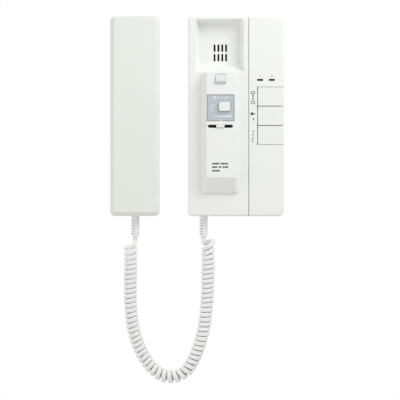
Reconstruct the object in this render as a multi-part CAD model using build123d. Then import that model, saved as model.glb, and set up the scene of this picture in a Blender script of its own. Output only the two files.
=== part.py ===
from build123d import *
import math
import os

# Wall station of an audio door intercom, with its corded handset off the hook beside it.
# Millimetres. X runs to the right as seen from the room, Z runs up and Y runs into the wall, so a
# depth in front of the wall is a negative Y. The origin is the middle of the face on the wall.

zero = 0.0

# Station housing
base_width = 96.0
base_height = 200.0
deck_depth = 34.0  # wall to the flat front
rear_depth = 15.0  # wall to the parting line
wall = 2.2
left_corner = 4.0
right_corner = 6.0
front_round = 2.2
groove_x = 12.8  # middle of the groove between the two front covers
groove = 0.5
bracket_space = 5.0  # behind the rear web, for the bracket and the screw heads

# Clearances shared by all pieces
gap = 0.3
thread_gap = 0.1
overrun = 5.0
soft_edge = 0.5

# Recess that takes the handset's ear cap
pocket_x = -16.5
pocket_width = 48.0
pocket_low = 44.2
pocket_high = 97.2
pocket_depth = 12.0
pocket_side_run = 3.5
pocket_top_run = 4.0
pocket_ramp_run = 9.2
pocket_corner = 2.5

# Raised post that the handset's grip straddles
post_x = -15.5
post_foot_width = 39.2
post_foot_low = -77.5
post_height = 13.0
post_side_run = 5.5
post_top_run = 1.7
post_ramp_run = 16.0
post_corner = 3.5
post_step = 2.2  # height of the foot's lower end above the deck
post_step_run = 0.7

# Handset
handset_x = -101.3
handset_length = 199.6
handset_width = 48.8
handset_corner = 4.5
handset_wall = 2.2
handset_stand = 1.0  # ear cap to the wall plane
ear_cap_rise = 11.5
channel_depth = 13.0
grip_thickness = 13.5
handset_bevel = 3.7
handset_bow = 1.6  # how far the ends of the outer face fall back from its middle

# Curly cord
cord_depth = 19.5
wire_diameter = 4.2
wire_sides_count = 6
curl_radius = 4.35  # to the middle of the wire
curl_gap = 0.55  # between neighbouring curls on the inside of a bend
base_cord_x = -32.4

# Faces and levels that several pieces share
web_front = bracket_space + wall
deck_inside = deck_depth - wall
pocket_floor_front = deck_depth - pocket_depth
pocket_floor_back = pocket_floor_front - wall
plateau = deck_depth + post_height
plateau_inside = plateau - wall
half_width = base_width / 2
half_height = base_height / 2
post_high = pocket_low
post_top_width = post_foot_width - 2 * post_side_run
handset_rim = handset_stand + ear_cap_rise
channel_floor = handset_rim + channel_depth
handset_front = channel_floor + grip_thickness
handset_half = handset_width / 2
handset_end = handset_length / 2


def front(depth, x=zero, z=zero):
    """The plane facing the room at a depth in front of the wall."""
    return Plane(origin=(x, -depth, z), x_dir=(1, 0, 0), z_dir=(0, -1, 0))


def side(x):
    """The plane of a side profile, drawn in depth and height."""
    return Plane(origin=(x, zero, zero), x_dir=(0, -1, 0), z_dir=(-1, 0, 0))


def outline(left, right, low, high, depth, corner=zero):
    """A rectangle facing the room, between two sides and two heights, with rounded corners."""
    shape = Rectangle(right - left, high - low)
    if corner > zero:
        shape = fillet(shape.vertices(), corner)
    return front(depth, (left + right) / 2, (low + high) / 2) * shape


def slab(left, right, low, high, back, face, corner=zero):
    """The outline run from one depth to another."""
    return extrude(outline(left, right, low, high, back, corner), face - back)


def rod(x, z, radius, back, face):
    """A round bar square to the wall."""
    return extrude(front(back, x, z) * Circle(radius), face - back)


def turned(x, z, *points):
    """A turned piece about an axis square to the wall, from points of radius and depth."""
    plane = Plane(origin=(x, zero, z), x_dir=(1, 0, 0), z_dir=(0, 0, -1))
    profile = make_face(plane * Polyline(*points, close=True))
    return revolve(profile, Axis((x, zero, z), (0, -1, 0)))


def upright(x, depth, *points):
    """A turned piece about an upright axis, from points of radius and height."""
    plane = front(depth, x)
    profile = make_face(plane * Polyline(*points, close=True))
    return revolve(profile, Axis((x, -depth, zero), (0, 0, 1)))


def cut_profile(x, half, *points):
    """A side profile of depth and height, run the same way to both sides of x."""
    return extrude(make_face(side(x) * Polyline(*points, close=True)), half, both=True)


def screw(x, z, head_radius, head_height, shank_radius, seat, tip):
    """A pan-head screw whose head lies on a seat and whose shank runs to its tip."""
    way = 1 if tip > seat else -1
    slot_width = head_radius * screw_slot_width_share
    slot_depth = head_height * screw_slot_depth_share
    body = rod(x, z, head_radius, seat - way * head_height, seat)
    body += rod(x, z, shank_radius, seat, tip)
    outer = seat - way * head_height
    body -= slab(x - head_radius, x + head_radius, z - slot_width, z + slot_width,
                 outer, outer + way * slot_depth)
    return body


screw_slot_width_share = 0.16
screw_slot_depth_share = 0.45

os.makedirs("parts", exist_ok=True)


def keep(name, *pieces):
    """Write one sub-part as a STEP file, as one solid or as a group of separate solids."""
    solids = [solid for piece in pieces for solid in piece.solids()]
    shape = solids[0] if len(solids) == 1 else Compound(children=solids)
    export_step(shape, f"parts/{name}.step")
    volume = sum(solid.volume for solid in solids)
    print(f"{name}: {len(solids)} solid(s), {volume:.0f} mm3")


# The outer form of the station, shared by the rear housing, both front covers and the keys
def station_outline(depth, inset=zero):
    shape = Rectangle(base_width - 2 * inset, base_height - 2 * inset)
    left = shape.vertices().group_by(Axis.X)[0]
    shape = fillet(left, max(left_corner - inset, soft_edge))
    right = shape.vertices().group_by(Axis.X)[-1]
    shape = fillet(right, max(right_corner - inset, soft_edge))
    return front(depth) * shape


def pocket_form(grow=zero):
    """The hollow for the ear cap, or with grow the outside of its walls."""
    left = pocket_x - pocket_width / 2 - grow
    right = pocket_x + pocket_width / 2 + grow
    low = pocket_low - grow
    high = pocket_high + grow
    mouth = outline(left, right, low, high, deck_depth, pocket_corner)
    floor = outline(left + pocket_side_run, right - pocket_side_run, low + pocket_ramp_run,
                    high - pocket_top_run, pocket_floor_front - grow, pocket_corner)
    bowl = loft([floor, mouth], ruled=True)
    return bowl + extrude(mouth, overrun)


def post_section(z, half, top_half, base_depth, top_depth):
    """A cut across the post at a height: wide at the deck and narrower at its front."""
    plane = Plane(origin=(post_x, zero, z), x_dir=(1, 0, 0), z_dir=(0, 0, -1))
    points = [(-half, base_depth), (-top_half, top_depth), (top_half, top_depth),
              (half, base_depth)]
    return make_face(plane * Polyline(*points, close=True))


def post_form(inset=zero):
    """The post on the deck, or with inset the hollow inside its walls."""
    half = post_foot_width / 2 - inset
    top_half = half - post_side_run
    high = post_high - inset
    foot_depth = deck_depth - inset
    foot = outline(post_x - half, post_x + half, -base_height, high, foot_depth, post_corner)
    top = outline(post_x - top_half, post_x + top_half, -base_height,
                  high - post_top_run, foot_depth + post_height, post_corner / 2)
    ramp_high = post_foot_low + inset + post_ramp_run
    upper = loft([foot, top], ruled=True)
    upper &= slab(-base_width, base_width, ramp_high, base_height, zero, base_width)
    end_low = post_foot_low + inset + post_step_run
    end_half = half - post_side_run * post_step / post_height
    ramp = loft([
        post_section(ramp_high, half, top_half, foot_depth, foot_depth + post_height),
        post_section(end_low, end_half, top_half + post_step_run, foot_depth,
                     foot_depth + post_step),
    ], ruled=True)
    return upper + ramp


station_form = extrude(station_outline(rear_depth), deck_depth - rear_depth)
front_rim = station_form.faces().sort_by(Axis.Y)[0].edges()
station_form = fillet(front_rim, front_round)
station_hollow = extrude(station_outline(rear_depth, wall), deck_inside - rear_depth)
cradle_edge = groove_x - groove / 2
panel_edge = groove_x + groove / 2
cradle_side = slab(-base_width, cradle_edge, -base_height, base_height, zero, base_width)
panel_side = slab(panel_edge, base_width, -base_height, base_height, zero, base_width)

# Screw bosses of the front covers, by place
boss_radius = 3.0
boss_side_inset = 6.8
boss_low_inset = 10.0
boss_high_inset = 12.0
boss_groove_inset = 8.5
cover_screw_radius = 1.3
cover_screw_head = 2.6
cover_screw_head_height = 1.9
cover_screw_depth = 10.0  # how far the thread runs into the boss
boss_low = -half_height + boss_low_inset
cradle_boss_high = pocket_low - boss_low_inset
boss_left = -half_width + boss_side_inset
cradle_bosses = [
    (boss_left, boss_low),
    (boss_left, cradle_boss_high),
    (cradle_edge - boss_groove_inset, boss_low),
]
panel_boss_x = panel_edge + 2 * boss_groove_inset
panel_bosses = [
    (panel_boss_x, boss_low),
    (panel_boss_x, half_height - boss_high_inset),
]


def cover_boss(x, z):
    """A boss from under the deck down to the rear web, bored for its screw."""
    bore_end = web_front + cover_screw_depth + gap
    post = rod(x, z, boss_radius, web_front, deck_inside)
    return post - rod(x, z, cover_screw_radius + thread_gap, web_front - overrun, bore_end)


# Cord boots: a collar held in the wall and a ribbed sleeve outside
boot_radius = 4.15
boot_length = 20.2
boot_tip_radius = 4.05
boot_neck_radius = 3.1
boot_flange_radius = 4.4
boot_flange = 1.8
boot_plain = 3.7  # smooth part next to the housing
boot_core_radius = 2.8
boot_cut_pitch = 2.75
boot_cut_height = 0.95
boot_cut_back = 0.9  # how far in front of the boot's middle the cuts end
boot_cut_count = 6
boot_hole_radius = boot_neck_radius + thread_gap


def cord_boot(x, wall_low, wall_thickness):
    """A moulded strain relief that hangs from a hole in a bottom wall, cut from both sides."""
    tip = wall_low - boot_length
    inside = wall_low + wall_thickness
    boot = upright(
        x, cord_depth,
        (zero, inside + boot_flange), (boot_flange_radius, inside + boot_flange),
        (boot_flange_radius, inside), (boot_neck_radius, inside),
        (boot_neck_radius, wall_low), (boot_radius, wall_low), (boot_tip_radius, tip),
        (zero, tip))
    cuts = []
    for place in range(boot_cut_count):
        high = wall_low - boot_plain - place * boot_cut_pitch
        low = high - boot_cut_height
        cuts.append(slab(x - overrun, x, low, high, cord_depth + boot_cut_back,
                         cord_depth + overrun))
        cuts.append(slab(x, x + overrun, low, high, cord_depth - overrun,
                         cord_depth - boot_cut_back))
    core = upright(x, cord_depth, (zero, tip), (boot_core_radius, tip),
                   (boot_core_radius, inside), (zero, inside))
    return boot - (Compound(children=cuts) - core)


# Cradle cover: the left front shell with the ear recess and the post
plate_margin = 0.5
plate_height = 26.5
plate_centre_z = 7.5
plate_thickness = 0.5
plate_corner = 1.0
plate_width = post_top_width - 2 * plate_margin
plate_low = plate_centre_z - plate_height / 2
plate_high = plate_centre_z + plate_height / 2

button_x = -11.7
button_z = 8.85
button_width = 11.2
button_height = 9.2
button_corner = 0.9
button_stand = 2.5  # above the plateau
button_travel = 1.5

slider_offset = 0.25  # the slot is a little left of the post's middle
slider_slot_x = post_x - slider_offset
slider_slot_z = -10.7
slider_slot_width = 24.8
slider_slot_height = 3.1
knob_width = 8.2
knob_clear = 0.25
knob_stand = 1.4
slider_travel = 7.0

slot_width = 1.9
slot_height = 7.7
slot_pitch = 3.87
slot_row_pitch = 9.6
slot_columns_count = 4
slot_rows_count = 2
speaker_x = post_x
speaker_z = 64.6
speaker_radius = 18.0
speaker_rib = 1.4
speaker_rib_height = 4.0

hook_width = 9.8
hook_side_gap = 0.15
hook_pivot_z = 38.9
hook_pivot_depth = 43.4
hook_sweep = 8.2  # radius of the lever's underside about its pin
hook_slot_top = 2.3  # above the pin
hook_pin_radius = 0.9
hook_ear = 1.6
hook_ear_height = 4.4
hook_shaft_gap = 0.05

post_board_margin = 1.6
post_board_low = -19.5
post_board_high = 36.5
post_board_front = 37.6
post_board_thickness = 1.6
post_boss_radius = 1.9
post_boss_low_inset = 3.3
post_boss_high_inset = 7.5
post_boss_low = post_board_low + post_boss_low_inset
post_boss_high = post_board_high - post_boss_high_inset
board_screw_radius = 1.1
post_board_half = post_top_width / 2 - post_board_margin
post_boss_reach = post_board_half - post_boss_radius
post_bosses = [(post_x + way * post_boss_reach, z)
               for way in (-1, 1) for z in (post_boss_low, post_boss_high)]

cradle_outer = (station_form & cradle_side) - pocket_form() + post_form()
cradle_hollow_side = slab(-base_width, cradle_edge - wall, -base_height, base_height,
                          zero, base_width)
cradle_hollow = (station_hollow & cradle_hollow_side) - pocket_form(wall) + post_form(wall)
plateau_rim = cradle_outer.faces().filter_by(Axis.Y).sort_by(Axis.Y)[0].edges()
cradle_outer = fillet(plateau_rim, soft_edge)
cradle_cover = cradle_outer - cradle_hollow
for x, z in cradle_bosses:
    cradle_cover += cover_boss(x, z)
for x, z in post_bosses:
    cradle_cover += rod(x, z, post_boss_radius, post_board_front, plateau_inside)
    cradle_cover -= rod(x, z, board_screw_radius + thread_gap, post_board_front - overrun,
                        plateau_inside - wall / 2)
speaker_ring = rod(speaker_x, speaker_z, speaker_radius + gap + speaker_rib,
                   pocket_floor_back - speaker_rib_height, pocket_floor_back)
speaker_ring -= rod(speaker_x, speaker_z, speaker_radius + gap, zero, pocket_floor_back)
cradle_cover += speaker_ring
for row in range(slot_rows_count):
    for column in range(slot_columns_count):
        x = speaker_x + (column - (slot_columns_count - 1) / 2) * slot_pitch
        z = speaker_z + (row - (slot_rows_count - 1) / 2) * slot_row_pitch
        slot = SlotOverall(slot_height, slot_width, rotation=90)
        cradle_cover -= extrude(front(pocket_floor_back - overrun, x, z) * slot,
                                wall + 2 * overrun)
cradle_cover -= slab(post_x - plate_width / 2, post_x + plate_width / 2, plate_low, plate_high,
                     plateau - plate_thickness, plateau + overrun, plate_corner)
button_window = slab(button_x - button_width / 2 - gap, button_x + button_width / 2 + gap,
                     button_z - button_height / 2 - gap, button_z + button_height / 2 + gap,
                     plateau_inside - overrun / 2, plateau + overrun, button_corner + gap)
cradle_cover -= button_window
slider_slot = SlotOverall(slider_slot_width, slider_slot_height)
cradle_cover -= extrude(front(plateau_inside - overrun / 2, slider_slot_x, slider_slot_z)
                        * slider_slot, wall + overrun)
hook_half = hook_width / 2
hook_low = hook_pivot_z - hook_sweep - gap
hook_slot_high = hook_pivot_z + hook_slot_top
hook_opening = slab(post_x - hook_half - hook_side_gap, post_x + hook_half + hook_side_gap,
                    hook_low - overrun, hook_slot_high, plateau_inside - overrun / 2,
                    plateau + overrun)
hook_circle = extrude(side(post_x) * Pos(hook_pivot_depth, hook_pivot_z)
                      * Circle(hook_sweep + gap), base_width, both=True)
cradle_cover -= hook_opening & hook_circle
for way in (-1, 1):
    inner = post_x + way * (hook_half + hook_side_gap)
    outer = inner + way * hook_ear
    ear = slab(min(inner, outer), max(inner, outer), hook_pivot_z - hook_ear_height / 2,
               hook_pivot_z + hook_ear_height / 2, hook_pivot_depth - hook_ear_height / 2,
               plateau_inside)
    cradle_cover += ear
pin_half = hook_half + hook_side_gap + hook_ear
pin_place = side(post_x) * Pos(hook_pivot_depth, hook_pivot_z)
cradle_cover -= extrude(pin_place * Circle(hook_pin_radius), pin_half, both=True)
boot_slot = Plane(origin=(base_cord_x, -cord_depth, -half_height - overrun)) * (
    Circle(boot_hole_radius)
    + Pos(zero, boot_hole_radius + cord_depth / 2 - rear_depth / 2) * Rectangle(
        2 * boot_hole_radius, 2 * boot_hole_radius + cord_depth - rear_depth))
cradle_cover -= extrude(boot_slot, wall + 2 * overrun)
keep("cradle_cover", cradle_cover)

# Hook pin, pressed through the two ears
hook_pin = extrude(pin_place * Circle(hook_pin_radius), pin_half, both=True)
keep("hook_pin", hook_pin)

# Hook lever: a wedge hinged at its top edge, swept about its pin below
hook_nose = 3.0  # above the plateau
hook_nose_depth = plateau + hook_nose
hook_crest_z = hook_pivot_z - math.sqrt(
    hook_sweep ** 2 - (hook_nose_depth - hook_pivot_depth) ** 2)
hook_top_z = hook_slot_high - gap
hook_back = 0.6  # the lever's back, behind its pin
hook_boss_radius = 2.0
hook_tail_z = hook_pivot_z - math.sqrt(hook_sweep ** 2 - hook_back ** 2)
hook_sag_angle = math.atan2(hook_nose_depth - hook_pivot_depth, hook_pivot_z - hook_crest_z) / 2
hook_under = (hook_pivot_depth + hook_sweep * math.sin(hook_sag_angle),
              hook_pivot_z - hook_sweep * math.cos(hook_sag_angle))
hook_outline = ThreePointArc((hook_pivot_depth - hook_back, hook_tail_z), hook_under,
                             (hook_nose_depth, hook_crest_z))
hook_outline += Polyline((hook_nose_depth, hook_crest_z), (plateau, hook_top_z),
                         (hook_pivot_depth, hook_top_z),
                         (hook_pivot_depth - hook_back, hook_pivot_z),
                         (hook_pivot_depth - hook_back, hook_tail_z))
hook_profile = make_face(side(post_x) * hook_outline)
hook_lever = extrude(hook_profile, hook_half, both=True)
hook_lever += extrude(pin_place * Circle(hook_boss_radius), hook_half, both=True)
hook_lever -= extrude(pin_place * Circle(hook_pin_radius + hook_shaft_gap), pin_half, both=True)
keep("hook_lever", hook_lever)

# Function plate: the tinted sheet set into the top of the post
plate_fit = 0.25
function_plate = slab(post_x - plate_width / 2 + plate_fit, post_x + plate_width / 2 - plate_fit,
                      plate_low + plate_fit, plate_high - plate_fit,
                      plateau - plate_thickness, plateau, plate_corner - plate_fit)
function_plate -= button_window
keep("function_plate", function_plate)

# Square button, held behind the plateau by its flange
button_flange_lip = 1.2
button_flange = 1.2
button_flange_face = plateau_inside - gap
plate_button = slab(button_x - button_width / 2, button_x + button_width / 2,
                    button_z - button_height / 2, button_z + button_height / 2,
                    button_flange_face - button_flange, plateau + button_stand, button_corner)
button_face = plate_button.faces().sort_by(Axis.Y)[0].edges()
plate_button = fillet(button_face, soft_edge)
plate_button += slab(button_x - button_width / 2 - button_flange_lip,
                     button_x + button_width / 2 + button_flange_lip,
                     button_z - button_height / 2 - button_flange_lip,
                     button_z + button_height / 2 + button_flange_lip,
                     button_flange_face - button_flange, button_flange_face, button_corner)
keep("plate_button", plate_button)

# Volume slider: a knob pushed on the lever of a carriage that slides behind the plateau
carriage_width = 8.8
carriage_height = 5.2
carriage_thickness = 1.1
lever_width = 3.0
lever_height = 1.0
lever_fit = 0.05
lever_rise = 2.4  # how far the lever goes up into the knob
pot_width = 23.6
pot_height = 5.2
pot_gap = 0.4
pot_slot_depth = 3.2
pot_groove_height = lever_height + 2 * gap
pot_groove_width = lever_width + 2 * slider_travel + 2 * gap
carriage_face = plateau_inside - gap
carriage_back = carriage_face - carriage_thickness
pot_face = carriage_back - pot_gap
knob_half = slider_slot_height / 2 - knob_clear
knob_ridge_share = 0.25
lever_left = slider_slot_x - lever_width / 2
lever_right = slider_slot_x + lever_width / 2
lever_low = slider_slot_z - lever_height / 2
lever_high = slider_slot_z + lever_height / 2
volume_knob = slab(slider_slot_x - knob_width / 2, slider_slot_x + knob_width / 2,
                   slider_slot_z - knob_half, slider_slot_z + knob_half,
                   carriage_face, plateau + knob_stand)
knob_edges = volume_knob.faces().sort_by(Axis.Y)[0].edges()
volume_knob = fillet(knob_edges, knob_half * knob_ridge_share)
volume_knob -= slab(lever_left - lever_fit, lever_right + lever_fit, lever_low - lever_fit,
                    lever_high + lever_fit, carriage_back, carriage_face + lever_rise + gap)
keep("volume_knob", volume_knob)

slider_carriage = slab(slider_slot_x - carriage_width / 2, slider_slot_x + carriage_width / 2,
                       slider_slot_z - carriage_height / 2, slider_slot_z + carriage_height / 2,
                       carriage_back, carriage_face)
slider_carriage += slab(lever_left, lever_right, lever_low, lever_high,
                        pot_face - pot_slot_depth + gap, carriage_face + lever_rise)
keep("slider_carriage", slider_carriage)

slide_potentiometer = slab(slider_slot_x - pot_width / 2, slider_slot_x + pot_width / 2,
                           slider_slot_z - pot_height / 2, slider_slot_z + pot_height / 2,
                           post_board_front, pot_face)
slide_potentiometer -= slab(slider_slot_x - pot_groove_width / 2,
                            slider_slot_x + pot_groove_width / 2,
                            slider_slot_z - pot_groove_height / 2,
                            slider_slot_z + pot_groove_height / 2,
                            pot_face - pot_slot_depth, pot_face + overrun)
keep("slide_potentiometer", slide_potentiometer)

# Post board, screwed to four bosses under the plateau
post_board_back = post_board_front - post_board_thickness
board_corner = 1.0
post_board = slab(post_x - post_board_half, post_x + post_board_half,
                  post_board_low, post_board_high, post_board_back, post_board_front,
                  board_corner)
for x, z in post_bosses:
    post_board -= rod(x, z, board_screw_radius + thread_gap, post_board_back - overrun,
                      post_board_front + overrun)
keep("post_board", post_board)

board_screw_head = 2.0
board_screw_head_height = 1.4
post_screw_tip = post_board_front + 3 * board_screw_head_height
keep("post_board_screws", *[
    screw(x, z, board_screw_head, board_screw_head_height, board_screw_radius,
          post_board_back, post_screw_tip)
    for x, z in post_bosses])

# Push switches under the keys and under the square button
switch_width = 6.0
switch_height = 3.4
switch_plunger_radius = 1.7
switch_corner = 0.6
press_gap = 0.1  # left between a key and its switch when the key is right in


def push_switch(x, z, seat, plunger_face):
    body = slab(x - switch_width / 2, x + switch_width / 2, z - switch_width / 2,
                z + switch_width / 2, seat, seat + switch_height, switch_corner)
    return body + rod(x, z, switch_plunger_radius, seat + switch_height, plunger_face)


button_switch_face = button_flange_face - button_flange - button_travel - press_gap
keep("button_switch", push_switch(button_x, button_z, post_board_front, button_switch_face))

# Hook switch and its leaf spring, under the lever's back
hook_switch_width = 8.0
hook_switch_height = 4.4
hook_switch_thickness = 2.6
hook_switch_z = hook_tail_z + hook_switch_height / 2
hook_switch = slab(post_x - hook_switch_width / 2, post_x + hook_switch_width / 2,
                   hook_switch_z - hook_switch_height / 2,
                   hook_switch_z + hook_switch_height / 2,
                   post_board_front, post_board_front + hook_switch_thickness, switch_corner)
keep("hook_switch", hook_switch)

leaf_thickness = 0.35
leaf_width = 3.2
leaf_foot = 4.0
leaf_foot_z = hook_tail_z - hook_switch_height
leaf_tip_z = hook_tail_z + leaf_foot / 2
leaf_tip_depth = hook_pivot_depth - hook_back - gap
leaf_knee_z = leaf_foot_z + gap
hook_spring = cut_profile(
    post_x, leaf_width / 2,
    (post_board_front, leaf_foot_z - leaf_foot),
    (post_board_front, leaf_knee_z),
    (leaf_tip_depth - leaf_thickness, leaf_tip_z),
    (leaf_tip_depth, leaf_tip_z),
    (post_board_front + leaf_thickness, leaf_knee_z - leaf_thickness),
    (post_board_front + leaf_thickness, leaf_foot_z - leaf_foot),
)
keep("hook_spring", hook_spring)

# Rear housing: a tray with a web, whose recess takes the bracket
lip_height = 1.6
lip_thickness = 1.0
lip_gap = 0.2
lip_outer = wall + lip_gap
board_back = 11.0
board_thickness = 1.6
board_front = board_back + board_thickness
board_half = 37.5
board_low = -80.0
board_high = 42.0
board_post_radius = 2.8
board_post_x = 22.0
board_post_low_inset = 6.0
board_post_high_inset = 14.0
board_posts = [(way * board_post_x, z) for way in (-1, 1)
               for z in (board_low + board_post_low_inset, board_high - board_post_high_inset)]
cable_window_half = 18.0
cable_window_low = -14.5
cable_window_high = 7.5
lug_x = 24.0
lug_z = 50.0
lug_width = 9.0
lug_rise = 5.0
bracket_thickness = 1.2
lug_slot_drop = 4.0

rear_form = extrude(station_outline(zero), rear_depth)
rear_housing = rear_form - extrude(station_outline(zero, wall), bracket_space)
rear_housing -= extrude(station_outline(web_front, wall), rear_depth)
lip = extrude(station_outline(rear_depth - lip_height, lip_outer), 2 * lip_height)
lip -= extrude(station_outline(zero, lip_outer + lip_thickness), deck_depth)
lip -= slab(cradle_edge - wall - gap, panel_edge + wall + gap, -base_height, base_height,
            rear_depth - 2 * lip_height, deck_depth)
lip_foot = extrude(station_outline(rear_depth - lip_height, wall), lip_height)
lip_foot -= extrude(station_outline(zero, lip_outer + lip_thickness), deck_depth)
rear_housing += lip_foot + (lip - slab(-base_width, base_width, -base_height, base_height,
                                       zero, rear_depth - lip_height))
for x, z in cradle_bosses + panel_bosses:
    rear_housing -= rod(x, z, cover_screw_radius + gap, zero, web_front + overrun)
for x, z in board_posts:
    rear_housing += rod(x, z, board_post_radius, web_front, board_back)
    rear_housing -= rod(x, z, board_screw_radius + thread_gap, web_front, board_back + overrun)
rear_housing -= slab(-cable_window_half, cable_window_half, cable_window_low,
                     cable_window_high, zero, web_front + overrun, board_corner)
for x in (-lug_x, lug_x):
    for z in (-lug_z, lug_z):
        rear_housing -= slab(x - lug_width / 2 - gap, x + lug_width / 2 + gap,
                             z - lug_slot_drop, z + bracket_thickness + gap, zero,
                             web_front + gap)
rear_housing -= extrude(boot_slot, wall + 2 * overrun)
rear_housing -= slab(base_cord_x - boot_flange_radius - gap, base_cord_x + boot_flange_radius + gap,
                     -half_height + wall, -half_height + wall + boot_flange_radius,
                     rear_depth - lip_height, deck_depth)
keep("rear_housing", rear_housing)

# Wall bracket: pressed steel, with two slots for a wall box and four hanging lugs
bracket_half = 30.0
bracket_high = 62.0
bracket_corner = 4.0
wall_hole_pitch = 83.5
wall_slot_width = 4.4
wall_slot_length = 7.0
bracket_window_margin = 1.5
lug_face = web_front + gap + bracket_thickness
lug_window = 8.0
wall_bracket = slab(-bracket_half, bracket_half, -bracket_high, bracket_high, zero,
                    bracket_thickness, bracket_corner)
for way in (-1, 1):
    slot = SlotOverall(wall_slot_length, wall_slot_width, rotation=90)
    wall_bracket -= extrude(front(-overrun, zero, way * wall_hole_pitch / 2) * slot,
                            bracket_thickness + 2 * overrun)
wall_bracket -= slab(-cable_window_half - bracket_window_margin,
                     cable_window_half + bracket_window_margin,
                     cable_window_low - bracket_window_margin,
                     cable_window_high + bracket_window_margin, -overrun, overrun,
                     bracket_corner / 2)
for x in (-lug_x, lug_x):
    for z in (-lug_z, lug_z):
        wall_bracket -= slab(x - lug_width / 2, x + lug_width / 2, z + bracket_thickness,
                             z + lug_window, -overrun, overrun)
        wall_bracket += cut_profile(
            x, lug_width / 2,
            (zero, z), (lug_face, z), (lug_face, z + lug_rise),
            (lug_face - bracket_thickness, z + lug_rise),
            (lug_face - bracket_thickness, z + bracket_thickness), (zero, z + bracket_thickness),
        )
keep("wall_bracket", wall_bracket)

# Cover screws, from behind the web
keep("cover_screws", *[
    screw(x, z, cover_screw_head, cover_screw_head_height, cover_screw_radius,
          bracket_space, web_front + cover_screw_depth)
    for x, z in cradle_bosses + panel_bosses])

# Main board, its screws and what stands on it
main_board = slab(-board_half, board_half, board_low, board_high, board_back, board_front,
                  board_corner)
for x, z in board_posts:
    main_board -= rod(x, z, board_screw_radius + thread_gap, board_back - overrun,
                      board_front + overrun)
keep("main_board", main_board)
keep("main_board_screws", *[
    screw(x, z, board_screw_head, board_screw_head_height, board_screw_radius,
          board_front, web_front + gap)
    for x, z in board_posts])

terminal_count = 4
terminal_pitch = 8.0
terminal_barrier = 1.2
terminal_half_height = 6.0
terminal_back = 3.0
terminal_floor = 5.0
terminal_screw_head = 2.7
terminal_screw_rise = 1.4
terminal_wire_radius = 1.1
terminal_half_width = (terminal_count * terminal_pitch + terminal_barrier) / 2
terminal_block = slab(-terminal_half_width, terminal_half_width, -terminal_half_height,
                      terminal_half_height, terminal_floor, board_back)
for place in range(terminal_count + 1):
    x = (place - terminal_count / 2) * terminal_pitch
    terminal_block += slab(x - terminal_barrier / 2, x + terminal_barrier / 2,
                           -terminal_half_height, terminal_half_height,
                           terminal_back, terminal_floor)
terminal_x = [(place - (terminal_count - 1) / 2) * terminal_pitch
              for place in range(terminal_count)]
for x in terminal_x:
    terminal_block -= rod(x, zero, terminal_wire_radius + thread_gap, terminal_back,
                          board_back - terminal_barrier)
keep("terminal_block", terminal_block)
keep("terminal_screws", *[
    screw(x, zero, terminal_screw_head, terminal_screw_rise, terminal_wire_radius,
          terminal_floor, board_back - 2 * terminal_barrier)
    for x in terminal_x])

transformer_x = -20.0
transformer_z = -42.0
core_width = 19.0
core_length = 16.0
core_limb = 5.0
transformer_coil_radius = 5.6
transformer_height = 14.0
core_half_x = core_width / 2
core_half_z = core_length / 2
line_transformer = slab(transformer_x - core_half_x, transformer_x + core_half_x,
                        transformer_z - core_half_z, transformer_z + core_half_z,
                        board_front, board_front + transformer_height)
line_transformer -= slab(transformer_x - core_half_x + core_limb,
                         transformer_x + core_half_x - core_limb,
                         transformer_z - base_width, transformer_z + base_width,
                         board_front + core_limb / 2,
                         board_front + transformer_height - core_limb / 2)
line_transformer += rod(transformer_x, transformer_z, transformer_coil_radius,
                        board_front + core_limb / 2,
                        board_front + transformer_height - core_limb / 2)
keep("line_transformer", line_transformer)

capacitor_radius = 4.0
capacitor_height = 11.0
capacitor_groove = 0.4
capacitor_right = 4.0
capacitor_left = -5.4
capacitor_high = -38.0
capacitor_low = -50.0
capacitor_places = [(capacitor_right, capacitor_high), (capacitor_right, capacitor_low),
                    (capacitor_left, capacitor_low)]
capacitor_points = [
    (zero, board_front), (capacitor_radius, board_front),
    (capacitor_radius, board_front + capacitor_height - capacitor_groove),
    (capacitor_radius - capacitor_groove, board_front + capacitor_height),
    (zero, board_front + capacitor_height),
]
keep("capacitors", *[turned(x, z, *capacitor_points) for x, z in capacitor_places])

# Speaker behind the recess: gasket, frame, cone and magnet
gasket_thickness = 1.0
flange_thickness = 0.9
flange_width = 2.4
speaker_depth = 9.6
speaker_pot_radius = 9.0
speaker_pot_height = 4.6
speaker_front = pocket_floor_back - gasket_thickness
speaker_inner = speaker_radius - flange_width
gasket_points = [
    (speaker_inner, speaker_front), (speaker_radius, speaker_front),
    (speaker_radius, pocket_floor_back), (speaker_inner, pocket_floor_back),
]
keep("speaker_gasket", turned(speaker_x, speaker_z, *gasket_points))
frame_back = speaker_front - speaker_depth + speaker_pot_height
frame_step = (speaker_front + frame_back) / 2
frame_points = [
    (speaker_inner, speaker_front), (speaker_radius, speaker_front),
    (speaker_radius, speaker_front - flange_thickness),
    (speaker_inner + flange_thickness, speaker_front - flange_thickness),
    (speaker_inner + flange_thickness, frame_step),
    (speaker_pot_radius + flange_thickness, frame_back),
    (speaker_pot_radius / 2, frame_back), (speaker_pot_radius / 2, frame_back + flange_thickness),
    (speaker_pot_radius, frame_back + flange_thickness), (speaker_inner, frame_step),
]
keep("speaker_frame", turned(speaker_x, speaker_z, *frame_points))
cone_thickness = 0.4
cone_fit = 0.05  # left between the cone's rim and its frame
cone_throat = 3.5
cone_back = frame_back + 2 * flange_thickness
cone_points = [
    (zero, cone_back), (cone_throat, cone_back),
    (speaker_inner - cone_fit, speaker_front - cone_thickness - flange_thickness / 2),
    (speaker_inner - cone_fit, speaker_front - flange_thickness / 2),
    (cone_throat, cone_back + cone_thickness), (zero, cone_back + 2 * cone_thickness),
]
keep("speaker_cone", turned(speaker_x, speaker_z, *cone_points))
keep("speaker_magnet", turned(
    speaker_x, speaker_z,
    (zero, speaker_front - speaker_depth), (speaker_pot_radius, speaker_front - speaker_depth),
    (speaker_pot_radius, frame_back), (zero, frame_back)))

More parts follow.
